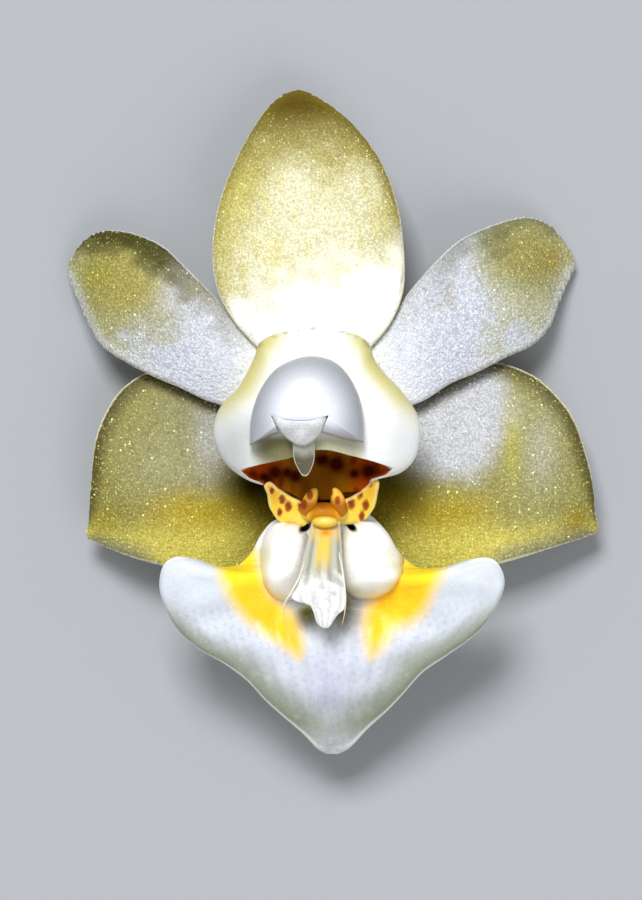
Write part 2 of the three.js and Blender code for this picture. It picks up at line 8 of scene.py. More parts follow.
import bpy
import numpy as np
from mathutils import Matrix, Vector


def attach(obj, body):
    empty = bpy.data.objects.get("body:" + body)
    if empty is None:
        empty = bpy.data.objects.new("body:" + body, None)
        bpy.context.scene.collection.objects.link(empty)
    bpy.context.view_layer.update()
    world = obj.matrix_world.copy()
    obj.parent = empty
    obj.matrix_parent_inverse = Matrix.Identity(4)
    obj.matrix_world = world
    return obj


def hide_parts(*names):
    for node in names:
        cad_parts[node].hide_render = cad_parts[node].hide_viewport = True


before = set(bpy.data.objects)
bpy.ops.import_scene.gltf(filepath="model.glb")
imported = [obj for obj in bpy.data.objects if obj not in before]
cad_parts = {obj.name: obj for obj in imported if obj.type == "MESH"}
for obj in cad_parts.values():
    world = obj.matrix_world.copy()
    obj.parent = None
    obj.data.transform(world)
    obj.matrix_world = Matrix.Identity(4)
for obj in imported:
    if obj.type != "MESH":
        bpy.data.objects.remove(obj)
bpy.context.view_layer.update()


# The camera looks straight down on the flower, as the photograph looks straight into its face. The picture is
# 18 mm tall at the height of the petals, from far enough off that near and far parts keep one scale.
MM = 0.001
PICTURE_CENTRE = (-0.21, -0.58)
PICTURE_HEIGHT = 18
PICTURE_PLANE = 2
CAMERA_HEIGHT = 150
SENSOR = 24

camera_data = bpy.data.cameras.new("camera")
camera_data.sensor_fit = "VERTICAL"
camera_data.sensor_height = SENSOR
camera_data.lens = SENSOR * (CAMERA_HEIGHT - PICTURE_PLANE) / PICTURE_HEIGHT
camera_data.clip_start = 1 * MM
camera_data.clip_end = 5000 * MM
camera = bpy.data.objects.new("camera", camera_data)
camera.location = Vector((*PICTURE_CENTRE, CAMERA_HEIGHT)) * MM
bpy.context.scene.collection.objects.link(camera)
bpy.context.scene.camera = camera
bpy.context.scene.view_settings.view_transform = "Standard"


# Two soft boxes light the flower: the key from beyond the dorsal sepal, high over its face, and a weaker one
# from the lip's side. A pale room fills the shadows.
def soft_box(name, place, width, watts):
    """A square lamp of that width, in millimetres, turned to face the flower."""
    data = bpy.data.lights.new(name, "AREA")
    data.size = width * MM
    data.energy = watts
    lamp = bpy.data.objects.new(name, data)
    lamp.location = Vector(place) * MM
    lamp.rotation_euler = (-Vector(place)).to_track_quat("-Z", "Y").to_euler()
    bpy.context.scene.collection.objects.link(lamp)


soft_box("key_light", (-70, 240, 450), 170, 2.75)
soft_box("fill_light", (160, -260, 380), 300, 0.75)
room = bpy.data.worlds.new("room")
room.use_nodes = True
room.node_tree.nodes["Background"].inputs["Color"].default_value = (0.97, 0.97, 0.97, 1)
room.node_tree.nodes["Background"].inputs["Strength"].default_value = 0.38
bpy.context.scene.world = room


# The table under the flower: matt, cool grey and quite plain. It is one square, far larger than the picture,
# and it isn't part of the flower.
def add(tree, kind, inputs=None, **settings):
    """Adds a node with these settings and returns its outputs. An input is a value or another node's
    output."""
    node = tree.nodes.new("ShaderNode" + kind)
    for name, value in settings.items():
        setattr(node, name, value)
    for key, value in (inputs or {}).items():
        if isinstance(value, bpy.types.NodeSocket):
            tree.links.new(value, node.inputs[key])
        else:
            node.inputs[key].default_value = value
    return node.outputs


def new_material(name):
    """An empty material and its node tree, with the Principled shader that ends it."""
    material = bpy.data.materials.new(name)
    material.use_nodes = True
    tree = material.node_tree
    return material, tree, tree.nodes["Principled BSDF"]


FLOOR_SIZE = 3000

floor_material, tree, shader = new_material("floor_grey")
shader.inputs["Roughness"].default_value = 0.9
cloud = add(tree, "TexNoise", {"Vector": add(tree, "TexCoord")["Object"], "Scale": 40.0, "Detail": 2.0})
tones = add(tree, "ValToRGB", {"Fac": cloud["Fac"]})
ramp = tree.nodes["Color Ramp"].color_ramp
ramp.elements[0].color = (0.33, 0.345, 0.37, 1)
ramp.elements[1].color = (0.36, 0.375, 0.4, 1)
tree.links.new(tones["Color"], shader.inputs["Base Color"])
floor_mesh = bpy.data.meshes.new("floor")
corner = FLOOR_SIZE / 2 * MM
square = [(-corner, -corner, 0), (corner, -corner, 0), (corner, corner, 0), (-corner, corner, 0)]
floor_mesh.from_pydata(square, [], [(0, 1, 2, 3)])
floor_mesh.materials.append(floor_material)
floor = bpy.data.objects.new("floor", floor_mesh)
bpy.context.scene.collection.objects.link(floor)


# The dorsal sepal: the broad upright one at the top. It is one thick leaf of tissue, arched across, covered
# with glassy papillae whose glitter is painted into its colour as highlights, olive at its tip and white
# where it joins the column.
TISSUE = 0.6
MARGIN = 0.3
SEPAL_ROWS = 190
SEPAL_FRONT = 150
SEPAL_BACK = 34
SEPAL_TEAR = 0.006
PAPILLA_PITCH = 0.075
PAPILLA_HEIGHT = 0.016
PAPILLA_REACH = 0.62
PAPILLA_SCATTER = np.array([[127.1, 269.5, 419.2], [311.7, 183.3, 371.9], [74.7, 246.1, 158.3]])
DORSAL_SEPAL = [
    [(-0.87, 0.76, 2.36), (0.29, 0.76, 2.36), 2.46],
    [(-1.38, 1.35, 2.38), (0.69, 1.35, 2.38), 2.52],
    [(-1.94, 1.97, 2.38), (1.18, 1.95, 2.38), 2.56],
    [(-2.3, 2.65, 2.25), (1.44, 2.61, 2.25), 2.55],
    [(-2.39, 3.45, 2.08), (1.45, 3.45, 2.08), 2.45],
    [(-2.27, 4.32, 1.85), (1.33, 4.32, 1.85), 2.22],
    [(-1.95, 5.2, 1.55), (1.01, 5.2, 1.55), 1.9],
    [(-1.54, 5.97, 1.25), (0.45, 5.97, 1.25), 1.55],
    [(-1.12, 6.49, 1.0), (-0.19, 6.49, 1.0), 1.2],
    [(-0.67, 6.67, 0.85), (-0.67, 6.67, 0.85), 0.85],
]


def smooth_line(points, t):
    """A Catmull-Rom line through the points, at shares t of the way from the first to the last. Past its ends
    it is carried on straight, and the cubic between two points leans on the one before and the one after."""
    p = np.asarray(points, float)
    p = np.vstack([2 * p[0] - p[1], p, 2 * p[-1] - p[-2]])
    place = np.clip(t, 0, 1) * (len(p) - 3)
    first = np.minimum(place.astype(int), len(p) - 4)
    f = (place - first)[..., None]
    a, b, c, d = (p[first + k] for k in range(4))
    return 0.5 * (2 * b + (c - a) * f + (2 * a - 5 * b + 4 * c - d) * f**2 + (3 * (b - c) + d - a) * f**3)


def smoothstep(low, high, x):
    """From 0 at low to 1 at high, level at both ends: three squares less two cubes of the share between."""
    t = np.clip((x - low) / (high - low), 0, 1)
    return t * t * (3 - 2 * t)


def wander(points, size, seed):
    """A slow random field from about -1 to 1: the mean of eight plane sine waves of that size, each with its
    own direction and phase."""
    random = np.random.default_rng(seed)
    ways = random.normal(size=(points.shape[-1], 8))
    ways /= np.linalg.norm(ways, axis=0)
    phases = random.uniform(0, 2 * np.pi, 8)
    return np.sin(points @ ways * (2 * np.pi / size) + phases).mean(-1) * 2


def papillae(points, pitch, seed):
    """Heights from 0 to 1 of round papillae: one at a random place in each cube of the pitch, and each point
    takes a paraboloid of its distance to the nearest."""
    cell = np.floor(points / pitch)
    nearest = np.full(points.shape[:-1], 9.0)
    for step in np.ndindex(3, 3, 3):
        cube = cell + np.array(step) - 1
        throw = np.sin(cube @ PAPILLA_SCATTER + seed)
        middle = (cube + 0.5 + 0.35 * np.modf(throw * 43758.5)[0]) * pitch
        nearest = np.minimum(nearest, np.linalg.norm(points - middle, axis=-1) / pitch)
    return np.clip(1 - (nearest / PAPILLA_REACH) ** 2, 0, 1)


def blade_surface(rows, tear=0.0, seed=0):
    """The front of a leaf: the outline runs smoothly up the left edges, round the tip and down the right
    edges, and each row between them is arched by its middle height. A ragged wave, tear high and strongest
    at the tip, pushes the margins out and in. It fades inwards from them as the exponential of the
    distance."""
    left, right, middle = zip(*rows)
    outline = np.array([*left, *right[-2::-1]])
    random = np.random.default_rng(seed)
    counts = random.uniform(30, 110, 12)
    phases = random.uniform(0, 2 * np.pi, 12)

    def push(s):
        along = smooth_line(outline, s + 0.002) - smooth_line(outline, s - 0.002)
        outward = np.stack([-along[..., 1], along[..., 0], 0 * s], -1)
        outward /= np.linalg.norm(outward, axis=-1, keepdims=True) + 1e-9
        wave = np.sin(s[..., None] * counts * 2 * np.pi + phases).mean(-1) * 2.5
        return outward * (wave * tear * np.sin(np.pi * s) ** 3)[..., None]

    def surface(u, v):
        a = smooth_line(outline, u / 2)
        b = smooth_line(outline, 1 - u / 2)
        rise = smooth_line(np.array(middle)[:, None], u) - (a[..., 2:] + b[..., 2:]) / 2
        across = v[..., None]
        reach = np.linalg.norm(b - a, axis=-1, keepdims=True) / 0.15
        torn = push(u / 2) * np.exp(-across * reach) + push(1 - u / 2) * np.exp(-(1 - across) * reach)
        return a + (b - a) * across + 4 * across * (1 - across) * rise * np.array([0, 0, 1]) + torn

    return surface


def sheet(surface, rows, front, back, tissue, margin, relief=None):
    """A closed leaf whose front is surface(u, v), u from base to tip and v from the left edge to the right.
    Each ring goes over the front from left to right and back underneath. Near the outline the front sinks and
    the back rises to meet in a round rim straight below it, half the margin's thickness down. Further in the
    thickness grows from the margin's to the tissue's. Relief is added to the front."""
    u = np.linspace(0, 1, rows, endpoint=False)[:, None]
    share = np.concatenate([np.arange(front) / front, 1 + np.arange(back) / back])
    bend = 0.5 - 0.5 * np.cos(np.pi * share)
    fold = np.where(share < 1, share, 2 - share)
    v = (0.6 * fold + 0.4 * bend)[None, :]
    step = 0.004
    points = surface(u, v) + 0 * v[..., None]
    across = surface(u, v + step) - surface(u, v - step)
    normal = np.cross(across, surface(u + step, v) - surface(u - step, v))
    normal /= np.linalg.norm(normal, axis=-1, keepdims=True) + 1e-12
    up = np.array([0, 0, 1])
    normal += (up - normal) * smoothstep(0.95, 0.99, u)[..., None]
    chord = surface(u, v * 0 + 1)[:, :1] - surface(u, v * 0)[:, :1]
    width = np.linalg.norm(chord, axis=-1)
    reach = []
    for side, gap in ((0, v), (1, 1 - v)):
        line = surface(u, v * 0 + side)[:, 0]
        along = np.gradient(line, axis=0)
        along /= np.linalg.norm(along, axis=-1, keepdims=True)
        lean = np.linalg.norm(np.cross(along, chord[:, 0] / (width + 1e-9)), axis=-1)
        reach.append(gap * width * lean[:, None] + 1e-6)
    inset = (reach[0] ** -4 + reach[1] ** -4) ** -0.25
    rim = margin / 2
    sink = rim * (1 - np.sqrt(1 - (1 - np.clip(inset / rim, 0, 1)) ** 2))
    depth = margin + (tissue - margin) * (1 - np.exp(-inset / 0.45))
    is_front = np.broadcast_to(share < 1, inset.shape)
    tilt = np.linalg.norm(normal[..., :2], axis=-1, keepdims=True)
    shift = np.concatenate([normal[..., :2] * (1 - tilt / (1 + normal[..., 2:])), normal[..., 2:] - 1], -1)
    points = points + rim * shift - normal * np.where(is_front, sink, depth - sink)[..., None]
    if relief is not None:
        points[is_front] += relief(points[is_front], inset[is_front], normal[is_front])
    tip = surface(np.array([[0.9999]]), np.array([[0.5]]))[0, 0] - (0, 0, rim)
    flat = SimpleNamespace(shape=inset.shape)
    flat.points = np.vstack([points.reshape(-1, 3), points[0].mean(0), tip])
    flat.u = np.append((u + 0 * v).ravel(), (0, 1))
    flat.v = np.append((v + 0 * u).ravel(), (0.5, 0.5))
    flat.inset = np.append(inset.ravel(), (inset[0].max(), 0))
    flat.front = np.append(is_front.ravel(), (False, True)).astype(float)
    flat.points[:, 2] = np.maximum(flat.points[:, 2], 0)
    return flat


def body(name, shape, points, material):
    """A closed mesh of points in rings, shape = (rings, points a ring). The last two points are the middles
    of the first and the last ring. If its volume comes out negative, every face is turned round."""
    rings, around = shape
    ring = np.arange(rings * around).reshape(shape)
    beside = np.roll(ring, -1, axis=1)
    quads = np.stack([ring[:-1], beside[:-1], beside[1:], ring[1:]], -1).reshape(-1, 4)
    base = np.full(around, rings * around)
    first_fan = np.stack([base, beside[0], ring[0]], -1)
    fans = np.vstack([first_fan, np.stack([ring[-1], beside[-1], base + 1], -1)])
    a, b, c, d = (points[quads[:, k]] for k in range(4))
    volume = np.einsum("ij,ij", a, np.cross(b, c)) + np.einsum("ij,ij", a, np.cross(c, d))
    order = 1 if volume > 0 else -1
    mesh = bpy.data.meshes.new(name)
    mesh.from_pydata((points * MM).tolist(), [], quads[:, ::order].tolist() + fans[:, ::order].tolist())
    mesh.shade_smooth()
    mesh.materials.append(material)
    piece = bpy.data.objects.new(name, mesh)
    bpy.context.scene.collection.objects.link(piece)
    return piece


def tint(code):
    """A screen colour such as #f0e6a0 as linear red, green and blue: a power of 2.4 with a straight foot."""
    screen = np.array([int(code[k : k + 2], 16) for k in (1, 3, 5)]) / 255
    return np.where(screen <= 0.04045, screen / 12.92, ((screen + 0.055) / 1.055) ** 2.4)


def one_colour(points, code):
    """The same colour for each of the points."""
    return np.broadcast_to(tint(code), points.shape)


def wash(colour, code, weight):
    """The colours, covered with another by the weight at each point."""
    return colour + (tint(code) - colour) * np.clip(weight, 0, 1)[:, None]


def washes(colour, layers):
    """The colours under one wash after another, each a colour code and its weight at each point."""
    for code, weight in layers:
        colour = wash(colour, code, weight)
    return colour


def spot(points, x, y, wide, high=None):
    """A soft round or oval spot, 1 in its middle: a Gaussian of the distance seen from the front."""
    return np.exp(-(((points[:, 0] - x) / wide) ** 2) - ((points[:, 1] - y) / (high or wide)) ** 2)


def paint(piece, colour, sparkle=1.0):
    """Stores a colour for each vertex, which the piece's material reads, and how much of its glint shows."""
    rgba = np.empty((len(colour), 4), np.float32)
    rgba[:, :3] = np.clip(colour, 0, 1)
    rgba[:, 3] = np.clip(sparkle, 0, 1)
    piece.data.attributes.new("paint", "FLOAT_COLOR", "POINT").data.foreach_set("color", rgba.ravel())


# The colour that darkens the grooves between the tissue's cells: painted shade.
GROOVE_SHADE_TINT = (0.34, 0.31, 0.26, 1)
SUBSURFACE_DEPTH = 0.35


def flesh(name, pitch, glint, gap, roughness, relief, glow):
    """Plant tissue: the painted colour under fine round cells of that pitch. Some cells glint, in loose
    crowds and as strong as glint and the paint's sparkle say, and a few larger ones among them: the glints
    are painted highlights, near-white specks mixed into the base colour, and on yellow paint they are yellow.
    Some cells are dull, the grooves between them are darker by gap as painted shade, and light sinks in by
    glow. Where the sparkle is nothing, the surface hardly shines."""
    material, tree, shader = new_material(name)

    def mapped(value, span, out, kind="LINEAR"):
        inputs = {"Value": value, 1: span[0], 2: span[1], 3: out[0], 4: out[1]}
        return add(tree, "MapRange", inputs, interpolation_type=kind)["Result"]

    def maths(operation, *values):
        return add(tree, "Math", dict(enumerate(values)), operation=operation)["Value"]

    place = add(tree, "TexCoord")["Object"]
    coat = add(tree, "Attribute", attribute_name="paint")
    cells = add(tree, "TexVoronoi", {"Vector": place, "Scale": 1 / (pitch * MM)})
    draw = add(tree, "SeparateColor", {"Color": cells["Color"]})
    size = mapped(draw["Green"], (0, 1), (0.25, 0.6))
    dome = mapped(cells["Distance"], (0.08, size), (1, 0), "SMOOTHSTEP")
    patchy = add(tree, "TexNoise", {"Vector": place, "Scale": 0.16 / (pitch * MM), "Detail": 3.0})["Fac"]
    crowd = mapped(patchy, (0.38, 0.62), (0.45, 1))
    lucky = mapped(draw["Red"], (0.5, 0.95), (0, glint))
    small = maths("MULTIPLY", dome, maths("MULTIPLY", lucky, crowd))
    large_glint_cells = add(tree, "TexVoronoi", {"Vector": place, "Scale": 0.5 / (pitch * MM)})
    chance = add(tree, "SeparateColor", {"Color": large_glint_cells["Color"]})["Red"]
    rare = mapped(chance, (0.84, 0.97), (0, glint))
    large = mapped(large_glint_cells["Distance"], (0.1, 0.34), (rare, 0), "SMOOTHSTEP")
    spark = maths("MULTIPLY", maths("MAXIMUM", small, large), coat["Alpha"])
    # Painted shade: the grooves between the cells, and some dull cells, darken the painted colour.
    groove_shade = mapped(cells["Distance"], (0.35, 0.65), (0, gap))
    dull = mapped(draw["Blue"], (0.7, 0.9), (0, gap))
    shade = maths("MULTIPLY", maths("MAXIMUM", groove_shade, dull), coat["Alpha"])
    shaded = add(tree, "Mix", {0: shade, 6: coat["Color"], 7: GROOVE_SHADE_TINT}, data_type="RGBA",
                 blend_type="MULTIPLY")[2]
    own_blue = add(tree, "SeparateColor", {"Color": coat["Color"]})["Blue"]
    cool = mapped(own_blue, (0, 0.4), (0.2, 1))
    gleam = add(tree, "CombineColor", {"Red": 1.0, "Green": 1.0, "Blue": cool})["Color"]
    # Painted highlights: the glinting cells turn the base colour near-white.
    colour = add(tree, "Mix", {0: spark, 6: shaded, 7: gleam}, data_type="RGBA")[2]
    tree.links.new(colour, shader.inputs["Base Color"])
    tree.links.new(mapped(spark, (0, 1), (roughness, 0.15)), shader.inputs["Roughness"])
    fine = add(tree, "TexNoise", {"Vector": place, "Scale": 2.5 / (pitch * MM), "Detail": 2.0})["Fac"]
    height = maths("MULTIPLY_ADD", fine, 0.5, dome)
    bump = add(tree, "Bump", {"Height": height, "Distance": relief * MM, "Strength": 1.0})["Normal"]
    tree.links.new(bump, shader.inputs["Normal"])
    tree.links.new(mapped(coat["Alpha"], (0, 1), (0.02, 0.3)), shader.inputs["Specular IOR Level"])
    shader.inputs["Subsurface Weight"].default_value = glow
    shader.inputs["Subsurface Scale"].default_value = SUBSURFACE_DEPTH * MM
    shader.inputs["Subsurface Radius"].default_value = (1.0, 0.9, 0.6)
    return material


def glassy_papillae(points, inset, normal):
    """The front's relief: papillae raised along its normal, smaller towards the margin."""
    height = PAPILLA_HEIGHT * (0.4 + 0.6 * smoothstep(0, 0.3, inset))
    return normal * (papillae(points, PAPILLA_PITCH, seed=3) * height)[:, None]


def glassy_leaf(rows, tear, seed):
    """A whole sepal or petal, with papillae on its front."""
    surface = blade_surface(rows, tear, seed)
    return sheet(surface, SEPAL_ROWS, SEPAL_FRONT, SEPAL_BACK, TISSUE, MARGIN, glassy_papillae)


def back_of_leaf(colour, leaf, code, vein):
    """The back's colours: one plain tone with fine lengthwise veins, darker by the vein's weight."""
    veins = np.cos(leaf.v * 2 * np.pi * 9) ** 8 * (1 - leaf.u) * vein
    plain = wash(one_colour(colour, code), "#8f9653", veins)
    return np.where(leaf.front[:, None] > 0, colour, plain)


sepal_flesh = flesh("sepal_tissue", pitch=0.045, glint=1.0, gap=0.55, roughness=0.5, relief=0.012, glow=0.12)
leaf = glassy_leaf(DORSAL_SEPAL, SEPAL_TEAR, 5)
dorsal = body("dorsal_sepal_dressed", leaf.shape, leaf.points, sepal_flesh)
at = leaf.points
x, y = at[:, 0], at[:, 1]
cloudy = wander(at[:, :2], 1.3, 8) * 0.12 + wander(at[:, :2], 0.45, 9) * 0.06
streaks = wander(at[:, :2] * (1, 0.3), 0.3, 10)
colour = one_colour(at, "#efecc6")
away = np.hypot((x + 0.35) / 1.9, (y - 2.6) / 3.0) + cloudy
colour = washes(colour, [
    ("#c6be6c", smoothstep(0.55, 1.2, away) * 0.95),
    ("#dcd588", smoothstep(0.1, 0.8, streaks) * smoothstep(1.3, 0.7, away) * 0.5),
    ("#cdc250", spot(at, -2.0, 4.5, 0.45, 0.9) * 0.6),
    ("#dfd76e", spot(at, -1.15, 3.1, 0.22, 0.6) * 0.5 + spot(at, 0.15, 2.85, 0.2, 0.3) * 0.4),
    # Dark olive towards the tip: partly its own colour and partly painted shade, where the tip bends back
    # away from the light.
    ("#9c8f42", smoothstep(4.7, 5.9, y + cloudy) * 0.8),
    ("#523f00", smoothstep(5.5, 6.4, y + 0.4 * cloudy) * 0.95),
])
edge_shade = (1 - smoothstep(0.04, 0.4, leaf.inset)) * smoothstep(2.6, 5.0, y)
colour = wash(colour, "#7d6e20", edge_shade * np.where(x > -0.4, 0.85, 0.6))
left_low = 0.3 * smoothstep(-0.9, -2.2, x)
fade = smoothstep(3.6, 2.3, y - 0.22 * x + left_low + 2.4 * cloudy)
colour = wash(colour, "#fffffd", fade)
beads = 0.5 + 0.5 * np.clip(wander(at, 0.12, 13) * 2.5, -1, 1)
beads *= smoothstep(3.4, 2.9, y) * smoothstep(2.0, 2.4, y)
colour = wash(colour, "#9a9a8c", (1 - smoothstep(0.04, 0.2, leaf.inset)) * beads * 0.7)
colour = wash(colour, "#fdf8d4", 1 - smoothstep(0.035, 0.085, leaf.inset))
sparkle = (1 - 0.8 * smoothstep(5.7, 6.3, y)) * (1 - 0.9 * fade)
paint(dorsal, back_of_leaf(colour, leaf, "#e3e2b4", 0.5), sparkle)
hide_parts("dorsal_sepal")
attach(dorsal, "root")


# The two petals: narrower than the sepals, paddle-shaped, with a ragged end. They spread to the upper left
# and right, bend back until their tips touch the table, and glitter as the sepals do.
PETAL_TEAR = 0.014
LEFT_PETAL = [
    [(-1.02, -0.12, 1.95), (-0.92, 0.62, 2.05), 2.12],
    [(-1.95, 0.23, 1.92), (-1.36, 1.38, 2.12), 2.18],
    [(-2.53, 0.42, 1.9), (-1.9, 2.01, 2.1), 2.18],
    [(-3.03, 0.66, 1.84), (-2.37, 2.53, 2.0), 2.12],
    [(-3.6, 0.9, 1.72), (-2.85, 3.02, 1.85), 2.0],
    [(-4.16, 1.19, 1.5), (-3.34, 3.49, 1.6), 1.85],
    [(-4.63, 1.51, 1.2), (-3.89, 3.76, 1.3), 1.55],
    [(-4.92, 1.96, 0.9), (-4.36, 3.86, 0.95), 1.2],
    [(-5.11, 2.39, 0.65), (-4.73, 3.82, 0.68), 0.85],
    [(-5.26, 2.75, 0.45), (-5.05, 3.6, 0.44), 0.55],
    [(-5.31, 3.14, 0.27), (-5.31, 3.14, 0.27), 0.27],
]
RIGHT_PETAL = [
    [(0.33, 0.62, 2.05), (0.42, -0.12, 1.95), 2.12],
    [(0.66, 1.38, 2.12), (1.35, 0.22, 1.92), 2.18],
    [(1.14, 1.99, 2.1), (1.87, 0.42, 1.9), 2.18],
    [(1.55, 2.58, 2.0), (2.37, 0.74, 1.84), 2.12],
    [(2.07, 3.18, 1.85), (2.93, 0.98, 1.72), 2.0],
    [(2.56, 3.63, 1.6), (3.5, 1.27, 1.55), 1.85],
    [(3.11, 3.9, 1.3), (4.03, 1.51, 1.25), 1.58],
    [(3.64, 4.08, 0.98), (4.38, 1.86, 0.95), 1.25],
    [(4.07, 4.11, 0.72), (4.57, 2.29, 0.68), 0.9],
    [(4.52, 3.87, 0.46), (4.74, 2.73, 0.46), 0.58],
    [(4.93, 3.22, 0.27), (4.93, 3.22, 0.27), 0.27],
]

petal_flesh = flesh("petal_tissue", pitch=0.048, glint=1.0, gap=0.55, roughness=0.4, relief=0.014, glow=0.12)
for name, rows, seed in (("left", LEFT_PETAL, 11), ("right", RIGHT_PETAL, 12)):
    leaf = glassy_leaf(rows, PETAL_TEAR, seed)
    petal = body(f"petal_{name}_dressed", leaf.shape, leaf.points, petal_flesh)
    at = leaf.points
    x, y = at[:, 0], at[:, 1]
    cloudy = wander(at[:, :2], 1.1, seed) * 0.1 + wander(at[:, :2], 0.4, seed + 20) * 0.04
    upper = leaf.v if name == "left" else 1 - leaf.v
    colour = one_colour(at, "#d6dced")
    colour = wash(colour, "#e8edfb", (1 - smoothstep(0.1, 0.4, leaf.u)) * 0.95)
    colour = wash(colour, "#fefef8", smoothstep(0.2, 0.06, leaf.u))
    if name == "left":
        colour = wash(colour, "#b3b276", smoothstep(0.34, 0.62, leaf.u + cloudy) * 0.95)
        patch = np.hypot((x + 4.2) / 1.1, (y - 2.95) / 1.05) + cloudy
        colour = washes(colour, [
            ("#ada456", smoothstep(1.15, 0.45, patch) * 0.95),
            ("#a9a66c", spot(at, -3.5, 2.1, 0.6, 0.5) * 0.6),
            ("#a3a01c", spot(at, -4.75, 2.98, 0.3, 0.25) * 0.6),
            ("#b39a48", spot(at, -3.9, 2.5, 0.3, 0.2) * 0.3),
            ("#6b6726", smoothstep(3.1, 3.75, y + cloudy) * 0.8),
        ])
        band = smoothstep(0.64, 0.9, upper + cloudy) * smoothstep(0.3, 0.5, leaf.u)
    else:
        colour = wash(colour, "#c3c59c", smoothstep(0.4, 0.66, leaf.u + cloudy) * 0.9)
        patch = np.hypot((x - 3.95) / 1.3, (y - 3.35) / 1.05) + cloudy
        colour = wash(colour, "#a59f58", smoothstep(1.2, 0.2, patch) * 0.95)
        colour = wash(colour, "#a4901f", spot(at, 4.45, 3.25, 0.25, 0.3) * 0.6)
        band = smoothstep(0.74, 0.94, upper + cloudy) * smoothstep(0.3, 0.55, leaf.u)
    halfway = smoothstep(0.1, 0.3, leaf.u) * smoothstep(0.65, 0.35, leaf.u)
    strip = smoothstep(0.6, 0.88, upper + cloudy) * halfway
    colour = wash(colour, "#8f8d6c", strip * (0.75 if name == "left" else 0.3))
    colour = wash(colour, "#45420c", band * (0.95 if name == "left" else 0.6))
    lower = smoothstep(0.4, 0.08, leaf.inset) * smoothstep(0.5, 0.2, upper) * smoothstep(0.25, 0.5, leaf.u)
    colour = wash(colour, "#dcdfdc", lower * 0.85)
    beads = smoothstep(0.1, 0.5, wander(at, 0.11, 14) * 1.5)
    edge = (1 - smoothstep(0.02, 0.14, leaf.inset)) * smoothstep(0.6, 0.3, upper)
    colour = wash(colour, "#4a4a3c", edge * beads * smoothstep(0.3, 0.6, leaf.u) * 0.7)
    rim = 1 - smoothstep(0.03, 0.07, leaf.inset)
    colour = wash(colour, "#f8f8f4", rim * (1 - 0.6 * edge * beads) * 0.9)
    plain_base = smoothstep(0.35, 0.05, leaf.u)
    paint(petal, back_of_leaf(colour, leaf, "#e4e5d2", 0.4), 1 - 0.35 * band - 0.5 * plain_base)
    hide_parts(f"petal_{name}")
    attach(petal, "root")


# The two lateral sepals: broad halves of a half moon, spread to the left and right under the petals. Each is
# straight along its lower margin, which ends in a short point, and passes under the lip.
LEFT_LATERAL_SEPAL = [
    [(-1.21, -1.3, 1.5), (-1.2, -0.02, 1.32), 1.46],
    [(-1.14, -1.75, 1.5), (-1.6, 0.2, 1.36), 1.54],
    [(-1.1, -2.1, 1.48), (-2.0, 0.36, 1.37), 1.59],
    [(-1.28, -2.42, 1.45), (-2.5, 0.56, 1.34), 1.62],
    [(-1.48, -2.78, 1.45), (-3.05, 0.8, 1.28), 1.62],
    [(-1.85, -2.99, 1.48), (-3.6, 1.0, 1.16), 1.6],
    [(-2.46, -3.02, 1.55), (-4.13, 0.73, 1.2), 1.56],
    [(-3.03, -2.98, 1.6), (-4.49, 0.28, 1.25), 1.52],
    [(-3.59, -2.86, 1.55), (-4.75, -0.38, 1.28), 1.46],
    [(-4.16, -2.69, 1.35), (-4.85, -1.34, 1.16), 1.28],
    [(-4.72, -2.46, 1.02), (-4.89, -1.95, 1.0), 1.02],
    [(-4.93, -2.33, 0.9), (-4.93, -2.33, 0.9), 0.9],
]
RIGHT_LATERAL_SEPAL = [
    [(0.6, -0.02, 1.32), (0.67, -1.3, 1.5), 1.46],
    [(1.02, 0.2, 1.36), (0.68, -1.7, 1.5), 1.54],
    [(1.42, 0.33, 1.37), (0.78, -2.04, 1.48), 1.59],
    [(1.9, 0.55, 1.34), (1.0, -2.36, 1.45), 1.62],
    [(2.45, 0.86, 1.28), (1.2, -2.7, 1.45), 1.62],
    [(3.2, 1.18, 1.14), (1.6, -3.0, 1.48), 1.6],
    [(3.93, 0.99, 1.18), (2.3, -3.02, 1.55), 1.56],
    [(4.45, 0.61, 1.24), (2.97, -2.96, 1.6), 1.52],
    [(4.89, 0.02, 1.28), (3.7, -2.78, 1.55), 1.46],
    [(5.22, -1.02, 1.18), (4.37, -2.57, 1.35), 1.3],
    [(5.32, -1.8, 1.0), (5.05, -2.36, 1.02), 1.03],
    [(5.37, -2.19, 0.9), (5.37, -2.19, 0.9), 0.9],
]

